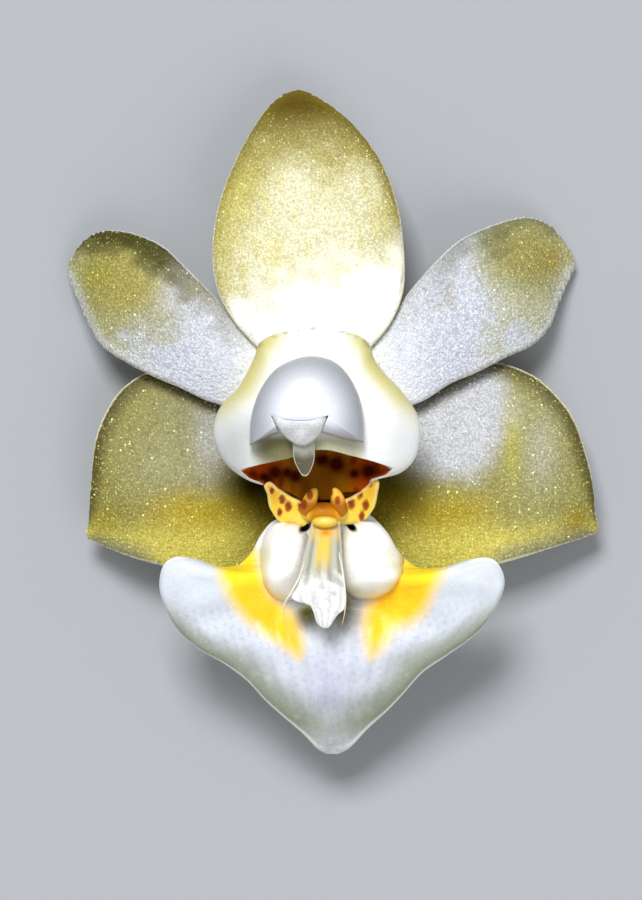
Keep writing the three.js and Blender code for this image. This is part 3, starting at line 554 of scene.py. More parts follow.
for name, rows, seed in (("left", LEFT_LATERAL_SEPAL, 21), ("right", RIGHT_LATERAL_SEPAL, 22)):
    leaf = glassy_leaf(rows, SEPAL_TEAR, seed)
    sepal = body(f"lateral_sepal_{name}_dressed", leaf.shape, leaf.points, sepal_flesh)
    at = leaf.points
    x, y = np.abs(at[:, 0] + 0.21), at[:, 1]
    cloudy = wander(at[:, :2], 1.4, seed) * 0.2 + wander(at[:, :2], 0.5, seed + 1) * 0.07
    upper = leaf.v if name == "left" else 1 - leaf.v
    if name == "left":
        colour = one_colour(at, "#948e48")
        colour = washes(colour, [
            ("#a0a084", spot(at, -2.45, 0.0, 0.8, 1.3) * 0.95),
            ("#a5a275", spot(at, -3.3, -0.9, 0.9, 0.7) * 0.8),
            ("#8f8c50", spot(at, -3.0, -0.1, 0.25, 0.6) * 0.5),
            ("#bdbfca", spot(at, -2.42, -0.4, 0.3, 0.75) * 0.5),
        ])
        tip_x = -4.55
    else:
        colour = one_colour(at, "#9c9856")
        silver = np.hypot((at[:, 0] - 2.35) / 1.3, (at[:, 1] - 0.25) / 1.5) + cloudy * 0.4
        colour = washes(colour, [
            ("#cdd0d9", smoothstep(1.2, 0.7, silver) * 0.95),
            ("#b9b9a4", spot(at, 4.2, -0.6, 0.4, 0.8) * 0.7),
            ("#bab450", spot(at, 3.62, -0.4, 0.18, 0.8) * 0.8),
        ])
        tip_x = 4.95
    low = smoothstep(-0.8, -1.5, y + 0.25 * cloudy + 0.12 * x) * smoothstep(4.2, 2.6, x)
    colour = washes(colour, [
        ("#b5a010", low * 0.95),
        ("#e0d560", smoothstep(-1.8, -2.5, y + cloudy * 0.3) * 0.85),
        ("#a89208", spot(at, tip_x, -2.0, 0.3) * (0.5 if name == "left" else 0.75)),
    ])
    # Painted shade along the upper margin, where the petal overhangs it and the edge turns away from the
    # light.
    upper_margin_shade = smoothstep(0.5, 0.1, leaf.inset) * smoothstep(0.6, 0.9, upper)
    colour = wash(colour, "#4f4614", upper_margin_shade * 0.85)
    # Painted shadow of the column's head: a dark olive patch near the foot, with a softer darker ring round
    # it.
    shade = np.exp(-(((x - 1.3) / 0.75) ** 2) - ((y + 1.25) / 0.55) ** 2)
    colour = wash(colour, "#5a4a04", smoothstep(2.6, 1.0, x) * smoothstep(-0.7, -1.3, y) * 0.55)
    colour = wash(colour, "#221600", shade * (1.0 if name == "left" else 0.8))
    grey = smoothstep(0.5, 0.1, leaf.inset) * smoothstep(0.5, 0.2, upper) * smoothstep(3.0, 3.8, x)
    colour = wash(colour, "#87866a", grey * 0.8)
    colour = wash(colour, "#fbf7d4", 1 - smoothstep(0.03, 0.08, leaf.inset))
    sparkle = 1 - shade - 0.3 * smoothstep(2.6, 1.0, x) * smoothstep(-0.9, -1.4, y)
    paint(sepal, back_of_leaf(colour, leaf, "#dcdba6", 0.5), sparkle)
    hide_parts(f"lateral_sepal_{name}")
    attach(sepal, "root")


# The column: a glossy white head, wide as a pillow, on a short neck, with a foot below it that carries the
# lip. A brown-blotched mouth is cut into the head's lower edge, and its upper shoulders are pale yellow.
COLUMN_AXIS = np.array([-0.31, 0.02])
NECK = {"x": 0.6, "y": 0.66, "bottom": 1.24, "top": 3.0}
FOOT = {"bottom": 1.3, "tip": 1.7, "flare": 1.15, "step_top": -1.57, "step_foot": -1.665, "side_step": 0.16}
FOOT_MIDDLE = np.array([-0.31, -0.7])
HEAD = {"underside": 2.4, "rim": 3.35, "front": 4.15, "curvature": 0.08, "swell": 0.28}
HEAD_OUTLINE = [
    (-0.41, 1.86), (0.13, 1.82), (0.56, 1.68), (0.74, 1.52), (0.86, 1.2), (1.06, 0.93), (1.33, 0.65),
    (1.67, 0.19), (1.76, -0.22), (1.67, -0.72), (1.39, -1.02), (0.96, -1.15), (0.4, -1.29), (-0.27, -1.33),
    (-0.94, -1.31), (-1.38, -1.27), (-1.75, -1.13), (-2.11, -0.84), (-2.31, -0.42), (-2.33, -0.03),
    (-2.17, 0.33), (-1.87, 0.63), (-1.68, 0.95), (-1.52, 1.3), (-1.43, 1.54), (-1.2, 1.69), (-0.85, 1.79),
]
FOOT_OUTLINE = [
    (-0.31, 0.4), (0.05, 0.3), (0.25, 0.0), (0.52, -0.58), (0.78, -1.2), (0.5, -1.58), (0.17, -1.78),
    (-0.31, -1.86), (-0.75, -1.78), (-1.06, -1.58), (-1.38, -1.22), (-1.12, -0.58), (-0.87, 0.0),
    (-0.67, 0.3),
]
MOUTH_TOP = [
    (1.26, -0.95), (0.8, -0.8), (0.37, -0.69), (-0.09, -0.58), (-0.5, -0.61), (-0.82, -0.74), (-1.38, -0.86),
    (-1.88, -0.99),
]
MOUTH_BOTTOM = [(-1.6, -1.15), (-1.36, -1.27), (-1.45, -1.97), (0.9, -1.97), (0.78, -1.2), (1.12, -1.06)]
MOUTH_MIDDLE = np.array([-0.31, -1.15])
MOUTH_HALF_WIDTH = 1.5
MOUTH_FLOOR = 2.6
MOUTH_LID = 5
MOUTH_LIFT = 0.8
MOUTH_EDGE = 0.25
OUTLINE_STEPS = 240
HEAD_RINGS = 48
BLOTCHES = [
    (-1.12, -1.02, 0.13), (-0.88, -1.03, 0.09), (-0.72, -1.1, 0.12), (-0.19, -0.76, 0.14), (0.1, -0.86, 0.16),
    (0.74, -1.0, 0.14), (0.45, -1.05, 0.09), (-1.35, -1.12, 0.08),
]
CORNER_NOTCHES = [(-1.45, 1.53, 0.09), (0.72, 1.55, 0.09)]


def closed_line(points, steps):
    """A smooth closed line through the points, anticlockwise from the front: a Catmull-Rom line that overlaps
    its own ends by one point."""
    p = np.array(points, float)
    area = (p[:, 0] * np.roll(p[:, 1], -1) - p[:, 1] * np.roll(p[:, 0], -1)).sum()
    p = p if area > 0 else p[::-1]
    looped = np.vstack([p[-1:], p, p[:2]])
    t = (1 + np.arange(steps) / steps * len(p)) / (len(looped) - 1)
    return smooth_line(looped, t)


def lens(outline, middle, front, back, rings, wall=False):
    """The ring points of a closed lens: the outline shrunk to its middle by shares that fall as a sine, at
    the front's heights from the middle out, then at the back's heights from the rim in. Heights are
    functions of x, y and the share. With a wall, front and back stay apart at the rim."""
    share = np.sin(np.linspace(0, np.pi / 2, rings + 1)[1:])
    shares = np.concatenate([share, share[::-1] if wall else share[-2::-1]])[:, None]
    flat = middle + (outline - middle) * shares[..., None]
    x, y = flat[..., 0], flat[..., 1]
    over = np.arange(len(shares))[:, None] < rings
    z = np.where(over, front(x, y, shares), back(x, y, shares))
    points = np.concatenate([flat, z[..., None]], -1)
    poles = [(*middle, float(height(middle[0], middle[1], 0.0))) for height in (front, back)]
    return z.shape, np.vstack([points.reshape(-1, 3), poles])


def flat_face(height):
    """A lens's face that is level at that height."""
    return lambda x, y, share: height + 0 * x + 0 * share


def join(piece, other, operation):
    """Adds the other closed body to the piece, or cuts it out of it, and removes the other."""
    boolean = piece.modifiers.new("join", "BOOLEAN")
    boolean.operation = operation
    boolean.solver = "MANIFOLD"
    boolean.object = other
    graph = bpy.context.evaluated_depsgraph_get()
    joined = bpy.data.meshes.new_from_object(piece.evaluated_get(graph))
    piece.modifiers.clear()
    piece.data = joined
    bpy.data.objects.remove(other)


def vertices(piece):
    """The piece's vertices, in millimetres."""
    flat = np.empty(len(piece.data.vertices) * 3)
    piece.data.vertices.foreach_get("co", flat)
    return flat.reshape(-1, 3) / MM


def head_front(x, y):
    """The front of the head and the seat of the cap: a shallow paraboloid round the column's axis."""
    return HEAD["front"] - HEAD["curvature"] * ((x - COLUMN_AXIS[0]) ** 2 + (y - COLUMN_AXIS[1]) ** 2)


def head_dome(x, y, share):
    """The head's front falls from the paraboloid to the rim along a rounded square's quarter."""
    return HEAD["rim"] + (head_front(x, y) - HEAD["rim"]) * np.sqrt(1 - np.minimum(share, 1) ** 4)


def head_underside(x, y, share):
    """The head's back: a cone from the rim down to the neck, swollen near the rim."""
    cone = HEAD["rim"] - (HEAD["rim"] - HEAD["underside"]) * (1 - share)
    return cone - HEAD["swell"] * np.sqrt(1 - share**6)


def mouth_floor(x):
    """The mouth's floor, which climbs towards both corners by the power 1.4 of the distance."""
    return MOUTH_FLOOR + MOUTH_LIFT * (np.abs(x - MOUTH_MIDDLE[0]) / MOUTH_HALF_WIDTH) ** 1.4


def mouth_bowl(x, y, share):
    """The mouth's inside: its floor, turned up at the very edge by the eighth power of the share."""
    return mouth_floor(x) + MOUTH_EDGE * share**8


def foot_top(x, y, share):
    """The foot's front: a hair above the mouth's floor, then stepping down to pass beneath the lip's base,
    and sooner towards its sides, under the lobes."""
    sooner = FOOT["side_step"] * smoothstep(0.25, 0.6, np.abs(x - FOOT_MIDDLE[0]))
    step = smoothstep(FOOT["step_foot"], FOOT["step_top"], y - sooner)
    return FOOT["tip"] + (mouth_floor(x) + 0.004 - FOOT["tip"]) * step


def foot_back(x, y, share):
    """The foot's back: flat, with a rim that flares up, but stays below the front."""
    flared = FOOT["bottom"] + FOOT["flare"] * smoothstep(0.72, 0.9, share)
    return np.minimum(flared, foot_top(x, y, share) - 0.15)


column_flesh = flesh("column_tissue", pitch=0.03, glint=0.35, gap=0.12, roughness=0.3, relief=0.003,
                     glow=0.25)
head_line = closed_line(HEAD_OUTLINE, OUTLINE_STEPS)
head = lens(head_line, COLUMN_AXIS, head_dome, head_underside, HEAD_RINGS)
column = body("column_dressed", *head, column_flesh)
mouth_line = np.vstack([
    smooth_line(MOUTH_TOP, np.linspace(0, 1, 120)),
    smooth_line([MOUTH_TOP[-1], *MOUTH_BOTTOM[:2]], np.linspace(0, 1, 20))[1:],
    MOUTH_BOTTOM[2:4],
    smooth_line([*MOUTH_BOTTOM[4:], MOUTH_TOP[0]], np.linspace(0, 1, 20))[:-1],
])
bowl = lens(mouth_line, MOUTH_MIDDLE, flat_face(MOUTH_LID), mouth_bowl, 24, wall=True)
mouth = body("mouth_cut", *bowl, column_flesh)
join(column, mouth, "DIFFERENCE")
foot_line = closed_line(FOOT_OUTLINE, OUTLINE_STEPS)
foot = body("foot", *lens(foot_line, FOOT_MIDDLE, foot_top, foot_back, 40, wall=True), column_flesh)
join(column, foot, "UNION")
angle = np.linspace(0, 2 * np.pi, 96, endpoint=False)
level = np.linspace(0, 1, 24)[:, None]
swell = 1 + 0.12 * (2 * level - 1) ** 2
neck_points = np.stack([
    COLUMN_AXIS[0] + NECK["x"] * swell * np.cos(angle),
    COLUMN_AXIS[1] + NECK["y"] * swell * np.sin(angle),
    NECK["bottom"] + (NECK["top"] - NECK["bottom"]) * level + 0 * angle,
], -1)
ends = [(*COLUMN_AXIS, NECK["bottom"]), (*COLUMN_AXIS, NECK["top"])]
neck = body("neck", neck_points.shape[:2], np.vstack([neck_points.reshape(-1, 3), ends]), column_flesh)
join(column, neck, "UNION")

at = vertices(column)
spoke = at[:, :2] - COLUMN_AXIS
outline_angle = np.arctan2(*(head_line - COLUMN_AXIS).T[::-1])
order = np.argsort(outline_angle)
outline_reach = np.linalg.norm(head_line - COLUMN_AXIS, axis=1)
reach = np.interp(np.arctan2(spoke[:, 1], spoke[:, 0]), outline_angle[order], outline_reach[order],
                  period=2 * np.pi)
share = np.linalg.norm(spoke, axis=1) / reach
below_front = head_front(at[:, 0], at[:, 1]) - at[:, 2]
x, y, z = at.T
aside = np.abs(x - COLUMN_AXIS[0])
colour = one_colour(at, "#f5f6f4")
shoulder = smoothstep(0.68, 0.96, share) * smoothstep(-0.3, 0.4, y) * smoothstep(0.35, 1.0, aside)
colour = washes(colour, [
    ("#cdc468", shoulder * 0.9),
    # Painted shade on the head's left and right flanks, stronger on the left.
    ("#aeb3b4", spot(at, -1.95, -0.5, 0.55, 0.8) * 0.85),
    ("#ced3d6", spot(at, 1.4, -0.4, 0.5, 0.7) * 0.7),
])
dots = smoothstep(0.35, 0.6, wander(at, 0.13, 31) * 1.4) * smoothstep(3.37, 3.45, z)
colour = wash(colour, "#a99f7a", dots * smoothstep(0.955, 0.97, share) * smoothstep(1.0, 1.4, y) * 0.6)
for a, b, size in CORNER_NOTCHES:
    colour = wash(colour, "#a39a63", spot(at, a, b, size) * 0.8)
# Painted shade in the hollow under the cap's brim, darker towards the lower left.
under_cap_shade = smoothstep(-0.22, -0.42, y) * smoothstep(1.25, 0.85, np.abs(x + 0.45)) * smoothstep(0.9, 0.6, share)
colour = washes(colour, [
    ("#b9ba98", under_cap_shade * 0.9),
    ("#6a6430", under_cap_shade * smoothstep(-0.1, -0.7, x + 0.5 * (y + 0.5)) * 0.8),
    ("#dfe0b4", smoothstep(3.5, 2.9, z) * 0.8),
])
facing = smoothstep(-0.12, -0.07, z - foot_top(x, y, share))
inside = smoothstep(0.3, 0.42, below_front) * (y < -0.55) * facing
at_foot = (y < -1.05) * smoothstep(1.14, 1.08, aside) * smoothstep(3.35, 3.25, z)
inside = inside * np.where(share < 0.97, 1, at_foot)
# Inside the mouth the brown is partly its own colour and partly painted shade of the deep mouth; the red
# corners, streaks and blotches are its own.
throat = one_colour(at, "#865206")
throat = wash(throat, "#9c3602", smoothstep(0.5, 1.0, aside) * 0.9)
throat = wash(throat, "#b8500c", smoothstep(1.0, 1.5, aside) * 0.8)
streaks = smoothstep(0.1, 0.6, wander(at[:, :2] * (1, 0.35), 0.22, 32)) * smoothstep(0.2, 0.7, aside)
throat = wash(throat, "#5a1202", streaks * 0.7)
for a, b, size in BLOTCHES:
    throat = wash(throat, "#3c0a03", spot(at, a, b, size) * 1.5)
colour = colour + (throat - colour) * inside[:, None]
paint(column, colour, (1 - inside) * 0.6)
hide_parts("column")
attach(column, "root")


# The anther cap: a smooth lavender-white helmet seated on the head's front, with a trapezoid notch in its
# lower edge where the pollen body shows.
CAP_MIDDLE = np.array([-0.5, 0.35])
CAP_EDGE = 0.15
CAP_DOME = 0.6
CAP_SEAT = 0.06
CAP_ARCH = [
    (0.64, -0.44), (0.62, 0.11), (0.5, 0.58), (0.26, 0.98), (-0.03, 1.2), (-0.41, 1.27), (-0.78, 1.19),
    (-1.14, 0.98), (-1.43, 0.56), (-1.59, 0.05), (-1.62, -0.5),
]
CAP_BRIM = [
    (-1.62, -0.5), (-1.34, -0.37), (-1.06, -0.26), (-0.6, -0.22), (-0.17, -0.25), (0.24, -0.37),
    (0.64, -0.44),
]
NOTCH_TOP = [(-0.06, 0.1), (-0.35, 0.02), (-0.65, 0.0), (-0.95, 0.03), (-1.19, 0.09)]
NOTCH_MIDDLE = np.array([-0.6, -0.25])
NOTCH_DEPTHS = (6, 3.5)
NOTCH_FOOT = [(-1.02, -0.28), (-1.0, -0.6), (-0.2, -0.6), (-0.22, -0.27)]

cap_flesh = flesh("cap_tissue", pitch=0.04, glint=0.08, gap=0.05, roughness=0.28, relief=0.0015, glow=0.3)
cap_line = np.vstack([
    smooth_line(CAP_ARCH, np.linspace(0, 1, 160))[:-1],
    smooth_line(CAP_BRIM, np.linspace(0, 1, 80))[:-1],
])
cap = body("anther_cap_dressed", *lens(
    cap_line, CAP_MIDDLE,
    lambda x, y, share: head_front(x, y) + CAP_SEAT + CAP_EDGE + CAP_DOME * np.sqrt(1 - share**3),
    lambda x, y, share: head_front(x, y) + CAP_SEAT + 0 * share, 40, wall=True), cap_flesh)
notch_line = np.vstack([smooth_line(NOTCH_TOP, np.linspace(0, 1, 40)), NOTCH_FOOT])
block = lens(notch_line, NOTCH_MIDDLE, *map(flat_face, NOTCH_DEPTHS), 2, wall=True)
notch = body("notch_cut", *block, cap_flesh)
join(cap, notch, "DIFFERENCE")
at = vertices(cap)
x, y = at[:, 0], at[:, 1]
colour = one_colour(at, "#dcdfeb")
rim = np.hypot((x + 0.49) / 1.14, y / 1.27)
# Over its own lavender-white: painted shade towards the rim and on the lower flanks, and a painted highlight
# in the middle.
colour = washes(colour, [
    ("#93979b", smoothstep(0.35, 0.95, rim) * 0.85),
    ("#a9acb6", smoothstep(0.3, -0.3, y) * smoothstep(0.3, 0.8, rim) * 0.6),
    ("#e6e8f2", spot(at, -0.6, 0.35, 0.45, 0.6) * 0.5),
])
brim = smooth_line(CAP_BRIM, np.linspace(0, 1, 80))
away = np.hypot(at[:, :1] - brim[:, 0], at[:, 1:2] - brim[:, 1]).min(1)
# A painted shadow: a thin dark line along the brim's edge.
colour = wash(colour, "#4a4340", smoothstep(0.05, 0.015, away) * 0.6)
paint(cap, colour)
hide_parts("anther_cap")
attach(cap, "root")


# The pollen body in the cap's notch: two glassy lumps grown together, and a thin pointed tongue with a white
# rim that hangs from them over the mouth.
POLLEN_OUTLINE = [
    (-1.2, 0.11), (-0.95, 0.04), (-0.65, 0.01), (-0.35, 0.03), (-0.07, 0.12), (-0.16, -0.17), (-0.33, -0.38),
    (-0.56, -0.5), (-0.8, -0.42), (-1.04, -0.2),
]
POLLEN_MIDDLE = np.array([-0.62, -0.2])
POLLEN = {"underside": 4.2, "rim": 4.24, "front": 0.2, "wedge": 0.44, "lump": 0.14}
POLLEN_LUMPS = [(-0.93, -0.12, 0.3), (-0.38, -0.1, 0.32), (-0.58, -0.36, 0.22)]
POLLEN_TONGUE = [
    [(-0.73, -0.32, 4.3), (-0.39, -0.32, 4.3), 4.33],
    [(-0.71, -0.55, 4.28), (-0.39, -0.55, 4.28), 4.32],
    [(-0.69, -0.74, 4.26), (-0.4, -0.76, 4.26), 4.3],
    [(-0.62, -0.91, 4.24), (-0.45, -0.92, 4.24), 4.27],
    [(-0.53, -1.04, 4.22), (-0.53, -1.04, 4.22), 4.22],
]


def pollen_front(x, y, share):
    """A wedge that is highest at the notch's upper edge, with two round lumps and a smaller one added as
    Gaussians, and rounded off at its rim."""
    lumps = 0
    for a, b, size in POLLEN_LUMPS:
        lumps += POLLEN["lump"] * np.exp(-((x - a) ** 2 + (y - b) ** 2) / (0.7 * size) ** 2)
    height = POLLEN["front"] + POLLEN["wedge"] * smoothstep(-0.55, 0.05, y) + lumps
    return POLLEN["rim"] + height * np.sqrt(1 - share**24)


pollen_flesh = flesh("pollen_tissue", pitch=0.04, glint=0.5, gap=0.25, roughness=0.15, relief=0.004, glow=0.4)
pollen = body("pollen_body", *lens(
    closed_line(POLLEN_OUTLINE, 160), POLLEN_MIDDLE, pollen_front,
    lambda x, y, share: POLLEN["underside"] + 0.04 * share, 32), pollen_flesh)
at = vertices(pollen)
colour = one_colour(at, "#e6e8ec")
off_centre = np.abs(at[:, 0] + 0.62)
colour = wash(colour, "#d3d6d3", smoothstep(0.2, 0.55, off_centre) * smoothstep(-0.2, 0.0, at[:, 1]) * 0.8)
# Painted shade at the sides, where the lumps meet the notch's walls.
colour = wash(colour, "#a9b09c", smoothstep(0.42, 0.58, off_centre) * 0.6)
paint(pollen, colour)
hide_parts("pollinarium")
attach(pollen, "root")

leaf = sheet(blade_surface(POLLEN_TONGUE), rows=50, front=40, back=20, tissue=0.1, margin=0.06)
tongue = body("pollen_tongue", leaf.shape, leaf.points, pollen_flesh)
colour = one_colour(leaf.points, "#5a5948")
colour = wash(colour, "#fbf6ea", 1 - smoothstep(0.01, 0.035, leaf.inset))
colour = wash(colour, "#b0b3a8", 1 - smoothstep(0.1, 0.5, leaf.u))
paint(tongue, colour, 0.2)
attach(tongue, "root")


# The lip's midlobe: a thick white arrowhead whose two wings curl up over the sepals' lower edges. Two white
# cheeks stand on it side by side, with gold patches outside them and fine ridges running to the tip.
MIDLOBE = [
    [(0.4, -1.64, 2.56), (-0.19, -1.64, 2.58), (-0.78, -1.64, 2.56), 0],
    [(0.72, -1.87, 2.42), (-0.22, -1.78, 2.55), (-1.0, -1.9, 2.42), 0],
    [(0.92, -2.0, 2.3), (-0.23, -1.91, 2.53), (-1.24, -2.05, 2.3), 0],
    [(1.15, -2.27, 2.18), (-0.24, -2.06, 2.5), (-1.43, -2.3, 2.18), 0],
    [(1.33, -2.59, 2.12), (-0.25, -2.22, 2.46), (-1.61, -2.63, 2.12), 0],
    [(1.6, -2.84, 2.12), (-0.25, -2.38, 2.42), (-1.88, -2.87, 2.14), 0.05],
    [(1.95, -2.94, 2.2), (-0.24, -2.52, 2.41), (-2.2, -2.91, 2.2), 0.12],
    [(2.36, -2.88, 2.5), (-0.23, -2.66, 2.4), (-2.5, -2.84, 2.5), 0.22],
    [(2.69, -2.76, 2.8), (-0.22, -2.8, 2.38), (-2.8, -2.7, 2.8), 0.35],
    [(3.0, -2.69, 2.94), (-0.21, -2.95, 2.36), (-3.1, -2.69, 2.94), 0.43],
    [(3.3, -2.81, 2.93), (-0.2, -3.13, 2.34), (-3.35, -2.87, 2.92), 0.42],
    [(3.45, -3.17, 2.84), (-0.17, -3.4, 2.3), (-3.43, -3.27, 2.84), 0.32],
    [(3.35, -3.57, 2.76), (-0.15, -3.65, 2.3), (-3.33, -3.68, 2.76), 0.2],
    [(3.12, -3.99, 2.68), (-0.13, -3.87, 2.4), (-3.08, -4.14, 2.68), 0.1],
    [(2.76, -4.35, 2.6), (-0.11, -4.11, 2.55), (-2.66, -4.54, 2.6), 0.05],
    [(2.3, -4.69, 2.5), (-0.09, -4.38, 2.65), (-2.14, -4.85, 2.5), 0],
    [(1.82, -5.03, 2.4), (-0.07, -4.67, 2.65), (-1.69, -5.19, 2.4), 0],
    [(1.45, -5.45, 2.25), (-0.05, -4.99, 2.6), (-1.31, -5.61, 2.25), 0],
    [(1.13, -5.8, 2.1), (-0.03, -5.35, 2.45), (-0.93, -5.96, 2.1), 0],
    [(0.73, -6.18, 1.9), (-0.01, -5.73, 2.2), (-0.57, -6.28, 1.9), 0],
    [(0.4, -6.54, 1.7), (0.01, -6.16, 1.9), (-0.3, -6.57, 1.7), 0],
    [(0.22, -6.66, 1.62), (0.02, -6.45, 1.72), (-0.15, -6.67, 1.62), 0],
    [(0.03, -6.68, 1.6), (0.03, -6.68, 1.6), (0.03, -6.68, 1.6), 0],
]
WING_ROLL = 0.22
PIT_DEPTH = 0.25
RIDGE_HEIGHT = 0.018
WAVE_HEIGHT = 0.025
CHEEKS = [
    {"x": -0.88, "y": -2.7, "left": 0.54, "right": 0.46, "up": 0.72, "down": 0.88, "height": 0.8},
    {"x": 0.6, "y": -2.68, "left": 0.46, "right": 0.84, "up": 0.7, "down": 0.88, "height": 0.8},
]
PITS = [(-0.53, -2.13, 0.12, -0.7), (0.4, -2.12, 0.11, 0.7)]
LEFT_GOLD = [
    (-1.9, -2.72, 0.42), (-1.72, -3.27, 0.4), (-1.47, -3.67, 0.34), (-1.07, -4.03, 0.3), (-0.75, -4.42, 0.15),
    (-0.66, -4.7, 0.0),
]
RIGHT_GOLD = [
    (1.85, -2.72, 0.46), (1.66, -3.2, 0.42), (1.4, -3.55, 0.46), (1.03, -3.88, 0.32), (0.88, -4.32, 0.18),
    (0.8, -4.66, 0.0),
]


def midlobe_surface(u, v):
    """The lip's front: each row runs from edge to midline to edge, and between them it is bowed towards the
    tip by a parabola. In the upper half its height climbs from the midline to the wing in an S, and rolls
    down again at the edge by the sixth power. Towards the tip, rows and heights both round off at the
    midline."""
    outline = [row[0] for row in MIDLOBE] + [row[2] for row in MIDLOBE[-2::-1]]
    middle = smooth_line([row[1] for row in MIDLOBE], u)
    bow = smooth_line([[row[3]] for row in MIDLOBE], u)[..., 0]
    side = 2 * np.abs(v - 0.5)
    edge = np.where((v < 0.5)[..., None], smooth_line(outline, u / 2), smooth_line(outline, 1 - u / 2))
    wing = smoothstep(0.16, 0.4, u) * smoothstep(0.75, 0.5, u)
    climb = side**2 + (smoothstep(0.1, 0.88, side) - side**2) * wing
    ease = side ** (1 + 0.8 * smoothstep(0.5, 0.75, u))
    x = middle[..., 0] + (edge - middle)[..., 0] * side
    y = middle[..., 1] + (edge - middle)[..., 1] * ease - 4 * side * (1 - side) * bow
    z = middle[..., 2] + (edge - middle)[..., 2] * climb + WING_ROLL * wing * climb * (1 - side**6)
    return np.stack([x, y, z], -1)


def cheek_height(x, y):
    """The two cheeks: each is a superellipse, with its own reach on each of its four sides."""
    total = 0
    for cheek in CHEEKS:
        dx, dy = x - cheek["x"], y - cheek["y"]
        wide = np.where(dx < 0, cheek["left"], cheek["right"])
        long = np.where(dy > 0, cheek["up"], cheek["down"])
        out = np.abs(dx / wide) ** 2.4 + np.abs(dy / long) ** 2.4
        total = np.maximum(total, cheek["height"] * np.clip(1 - out, 0, 1) ** 0.68)
    return total


def pit(points, x, y, size, lean):
    """A slanting oval spot, narrower across its leaning axis than along it: a Gaussian with its rim
    sharpened."""
    dx, dy = points[:, 0] - x, points[:, 1] - y
    along, across = dx * np.cos(lean) - dy * np.sin(lean), dx * np.sin(lean) + dy * np.cos(lean)
    return smoothstep(0.15, 0.75, np.exp(-((along / size) ** 2) - (across / size * 1.7) ** 2))


def lip_relief(points, inset, normal):
    """Raises the cheeks, sinks a pit beside each, and adds soft waves and, in the lower half, fine ridges."""
    x, y = points[:, 0], points[:, 1]
    height = cheek_height(x, y)
    for place in PITS:
        height = height * (1 - pit(points, *place)) - PIT_DEPTH * pit(points, *place)
    fan = x / (0.5 + 0.22 * (y + 6.8))
    inner = smoothstep(0.1, 0.5, inset)
    ridges = RIDGE_HEIGHT * np.cos(2 * np.pi * fan * 2.6 + 0.6) * smoothstep(-3.6, -4.4, y) * inner
    soft = WAVE_HEIGHT * wander(points[:, :2], 0.7, 33) * inner
    return np.stack([0 * x, 0 * x, height + ridges + soft], -1)


def stroke(points, stations, soft):
    """A band of changing width: 1 inside and 0 outside, fading within the soft distance of its edge. A
    point's depth in it is the greatest, over places along its line, of the half width there less the
    distance."""
    line = smooth_line(stations, np.linspace(0, 1, 50))
    away = np.hypot(points[:, :1] - line[:, 0], points[:, 1:2] - line[:, 1])
    return smoothstep(-soft, soft, (line[:, 2] - away).max(1))


lip_flesh = flesh("lip_tissue", pitch=0.05, glint=0.25, gap=0.1, roughness=0.38, relief=0.003, glow=0.25)
leaf = sheet(midlobe_surface, rows=300, front=240, back=40, tissue=TISSUE, margin=MARGIN, relief=lip_relief)
midlobe = body("lip_midlobe", leaf.shape, leaf.points, lip_flesh)
at = leaf.points
cloudy = wander(at[:, :2], 0.9, 41) * 0.08 + wander(at[:, :2], 0.3, 42) * 0.04
x, y = at[:, 0], at[:, 1]
colour = one_colour(at, "#d0d7e1")
colour = washes(colour, [
    ("#c9cfdb", smoothstep(-3.6, -5.6, y) * 0.9),
    ("#e4ecec", smoothstep(-5.4, -6.2, y) * 0.7),
    ("#bfbdd8", np.exp(-((x / 0.35) ** 2)) * smoothstep(-4.2, -5.0, y) * 0.45),
])
lilac = smoothstep(0.2, 0.8, wander(at[:, :2] * (1, 0.4), 0.5, 43)) * smoothstep(-4, -5, y)
colour = wash(colour, "#bdbcd2", lilac * 0.4)
mottle = smoothstep(0.15, 0.9, wander(at[:, :2], 0.16, 44) + 0.5 * wander(at[:, :2], 0.07, 45))
colour = wash(colour, "#aab2c2", mottle * smoothstep(-3.0, -4.2, y) * 0.35)
# Painted shade along the lower margins, which curve down away from the light.
margin_shade = smoothstep(0.6, 0.08, leaf.inset) * smoothstep(-3.3, -4.2, y) * smoothstep(-6.9, -5.9, y)
colour = washes(colour, [
    ("#7d8468", margin_shade * 0.85),
    # Dark olive spots in the valley: painted shade beneath the tongue and the cheeks' lower edges.
    ("#5a5200", spot(at, 0.2, -3.65, 0.42, 0.42)),
    ("#5f5804", spot(at, -0.5, -3.82, 0.3, 0.34)),
])
gold = np.maximum(stroke(at, LEFT_GOLD, 0.2), stroke(at, RIGHT_GOLD, 0.22))
colour = wash(colour, "#ffdc28", gold)
deep = np.maximum(stroke(at, LEFT_GOLD[2:], 0.22), stroke(at, RIGHT_GOLD[2:], 0.3))
colour = wash(colour, "#f7b01a", deep * (0.55 + cloudy * 2))
white_cheek = smoothstep(0.1, 0.7, cheek_height(x, y) + 2 * cloudy)
colour = wash(colour, "#f4ecc0", smoothstep(0.02, 0.3, cheek_height(x, y)) * 0.6)
colour = wash(colour, "#fafaf6", white_cheek)
# The rim beside the cheeks is white like them and painted lighter still, to offset the shade where the rim
# turns away from the light.
middle_part = smoothstep(1.65, 1.35, np.abs(x + 0.14)) * smoothstep(-2.6, -2.4, y)
beside = smoothstep(0.4, 0.2, leaf.inset) * middle_part
colour = wash(colour, "#ffffff", beside)
hinge = smoothstep(-2.1, -1.98, y) * smoothstep(0.8, 0.66, np.abs(x + 0.2))
colour = wash(colour, "#b97410", hinge)
colour = wash(colour, "#7c4a06", smoothstep(-1.86, -1.7, y))
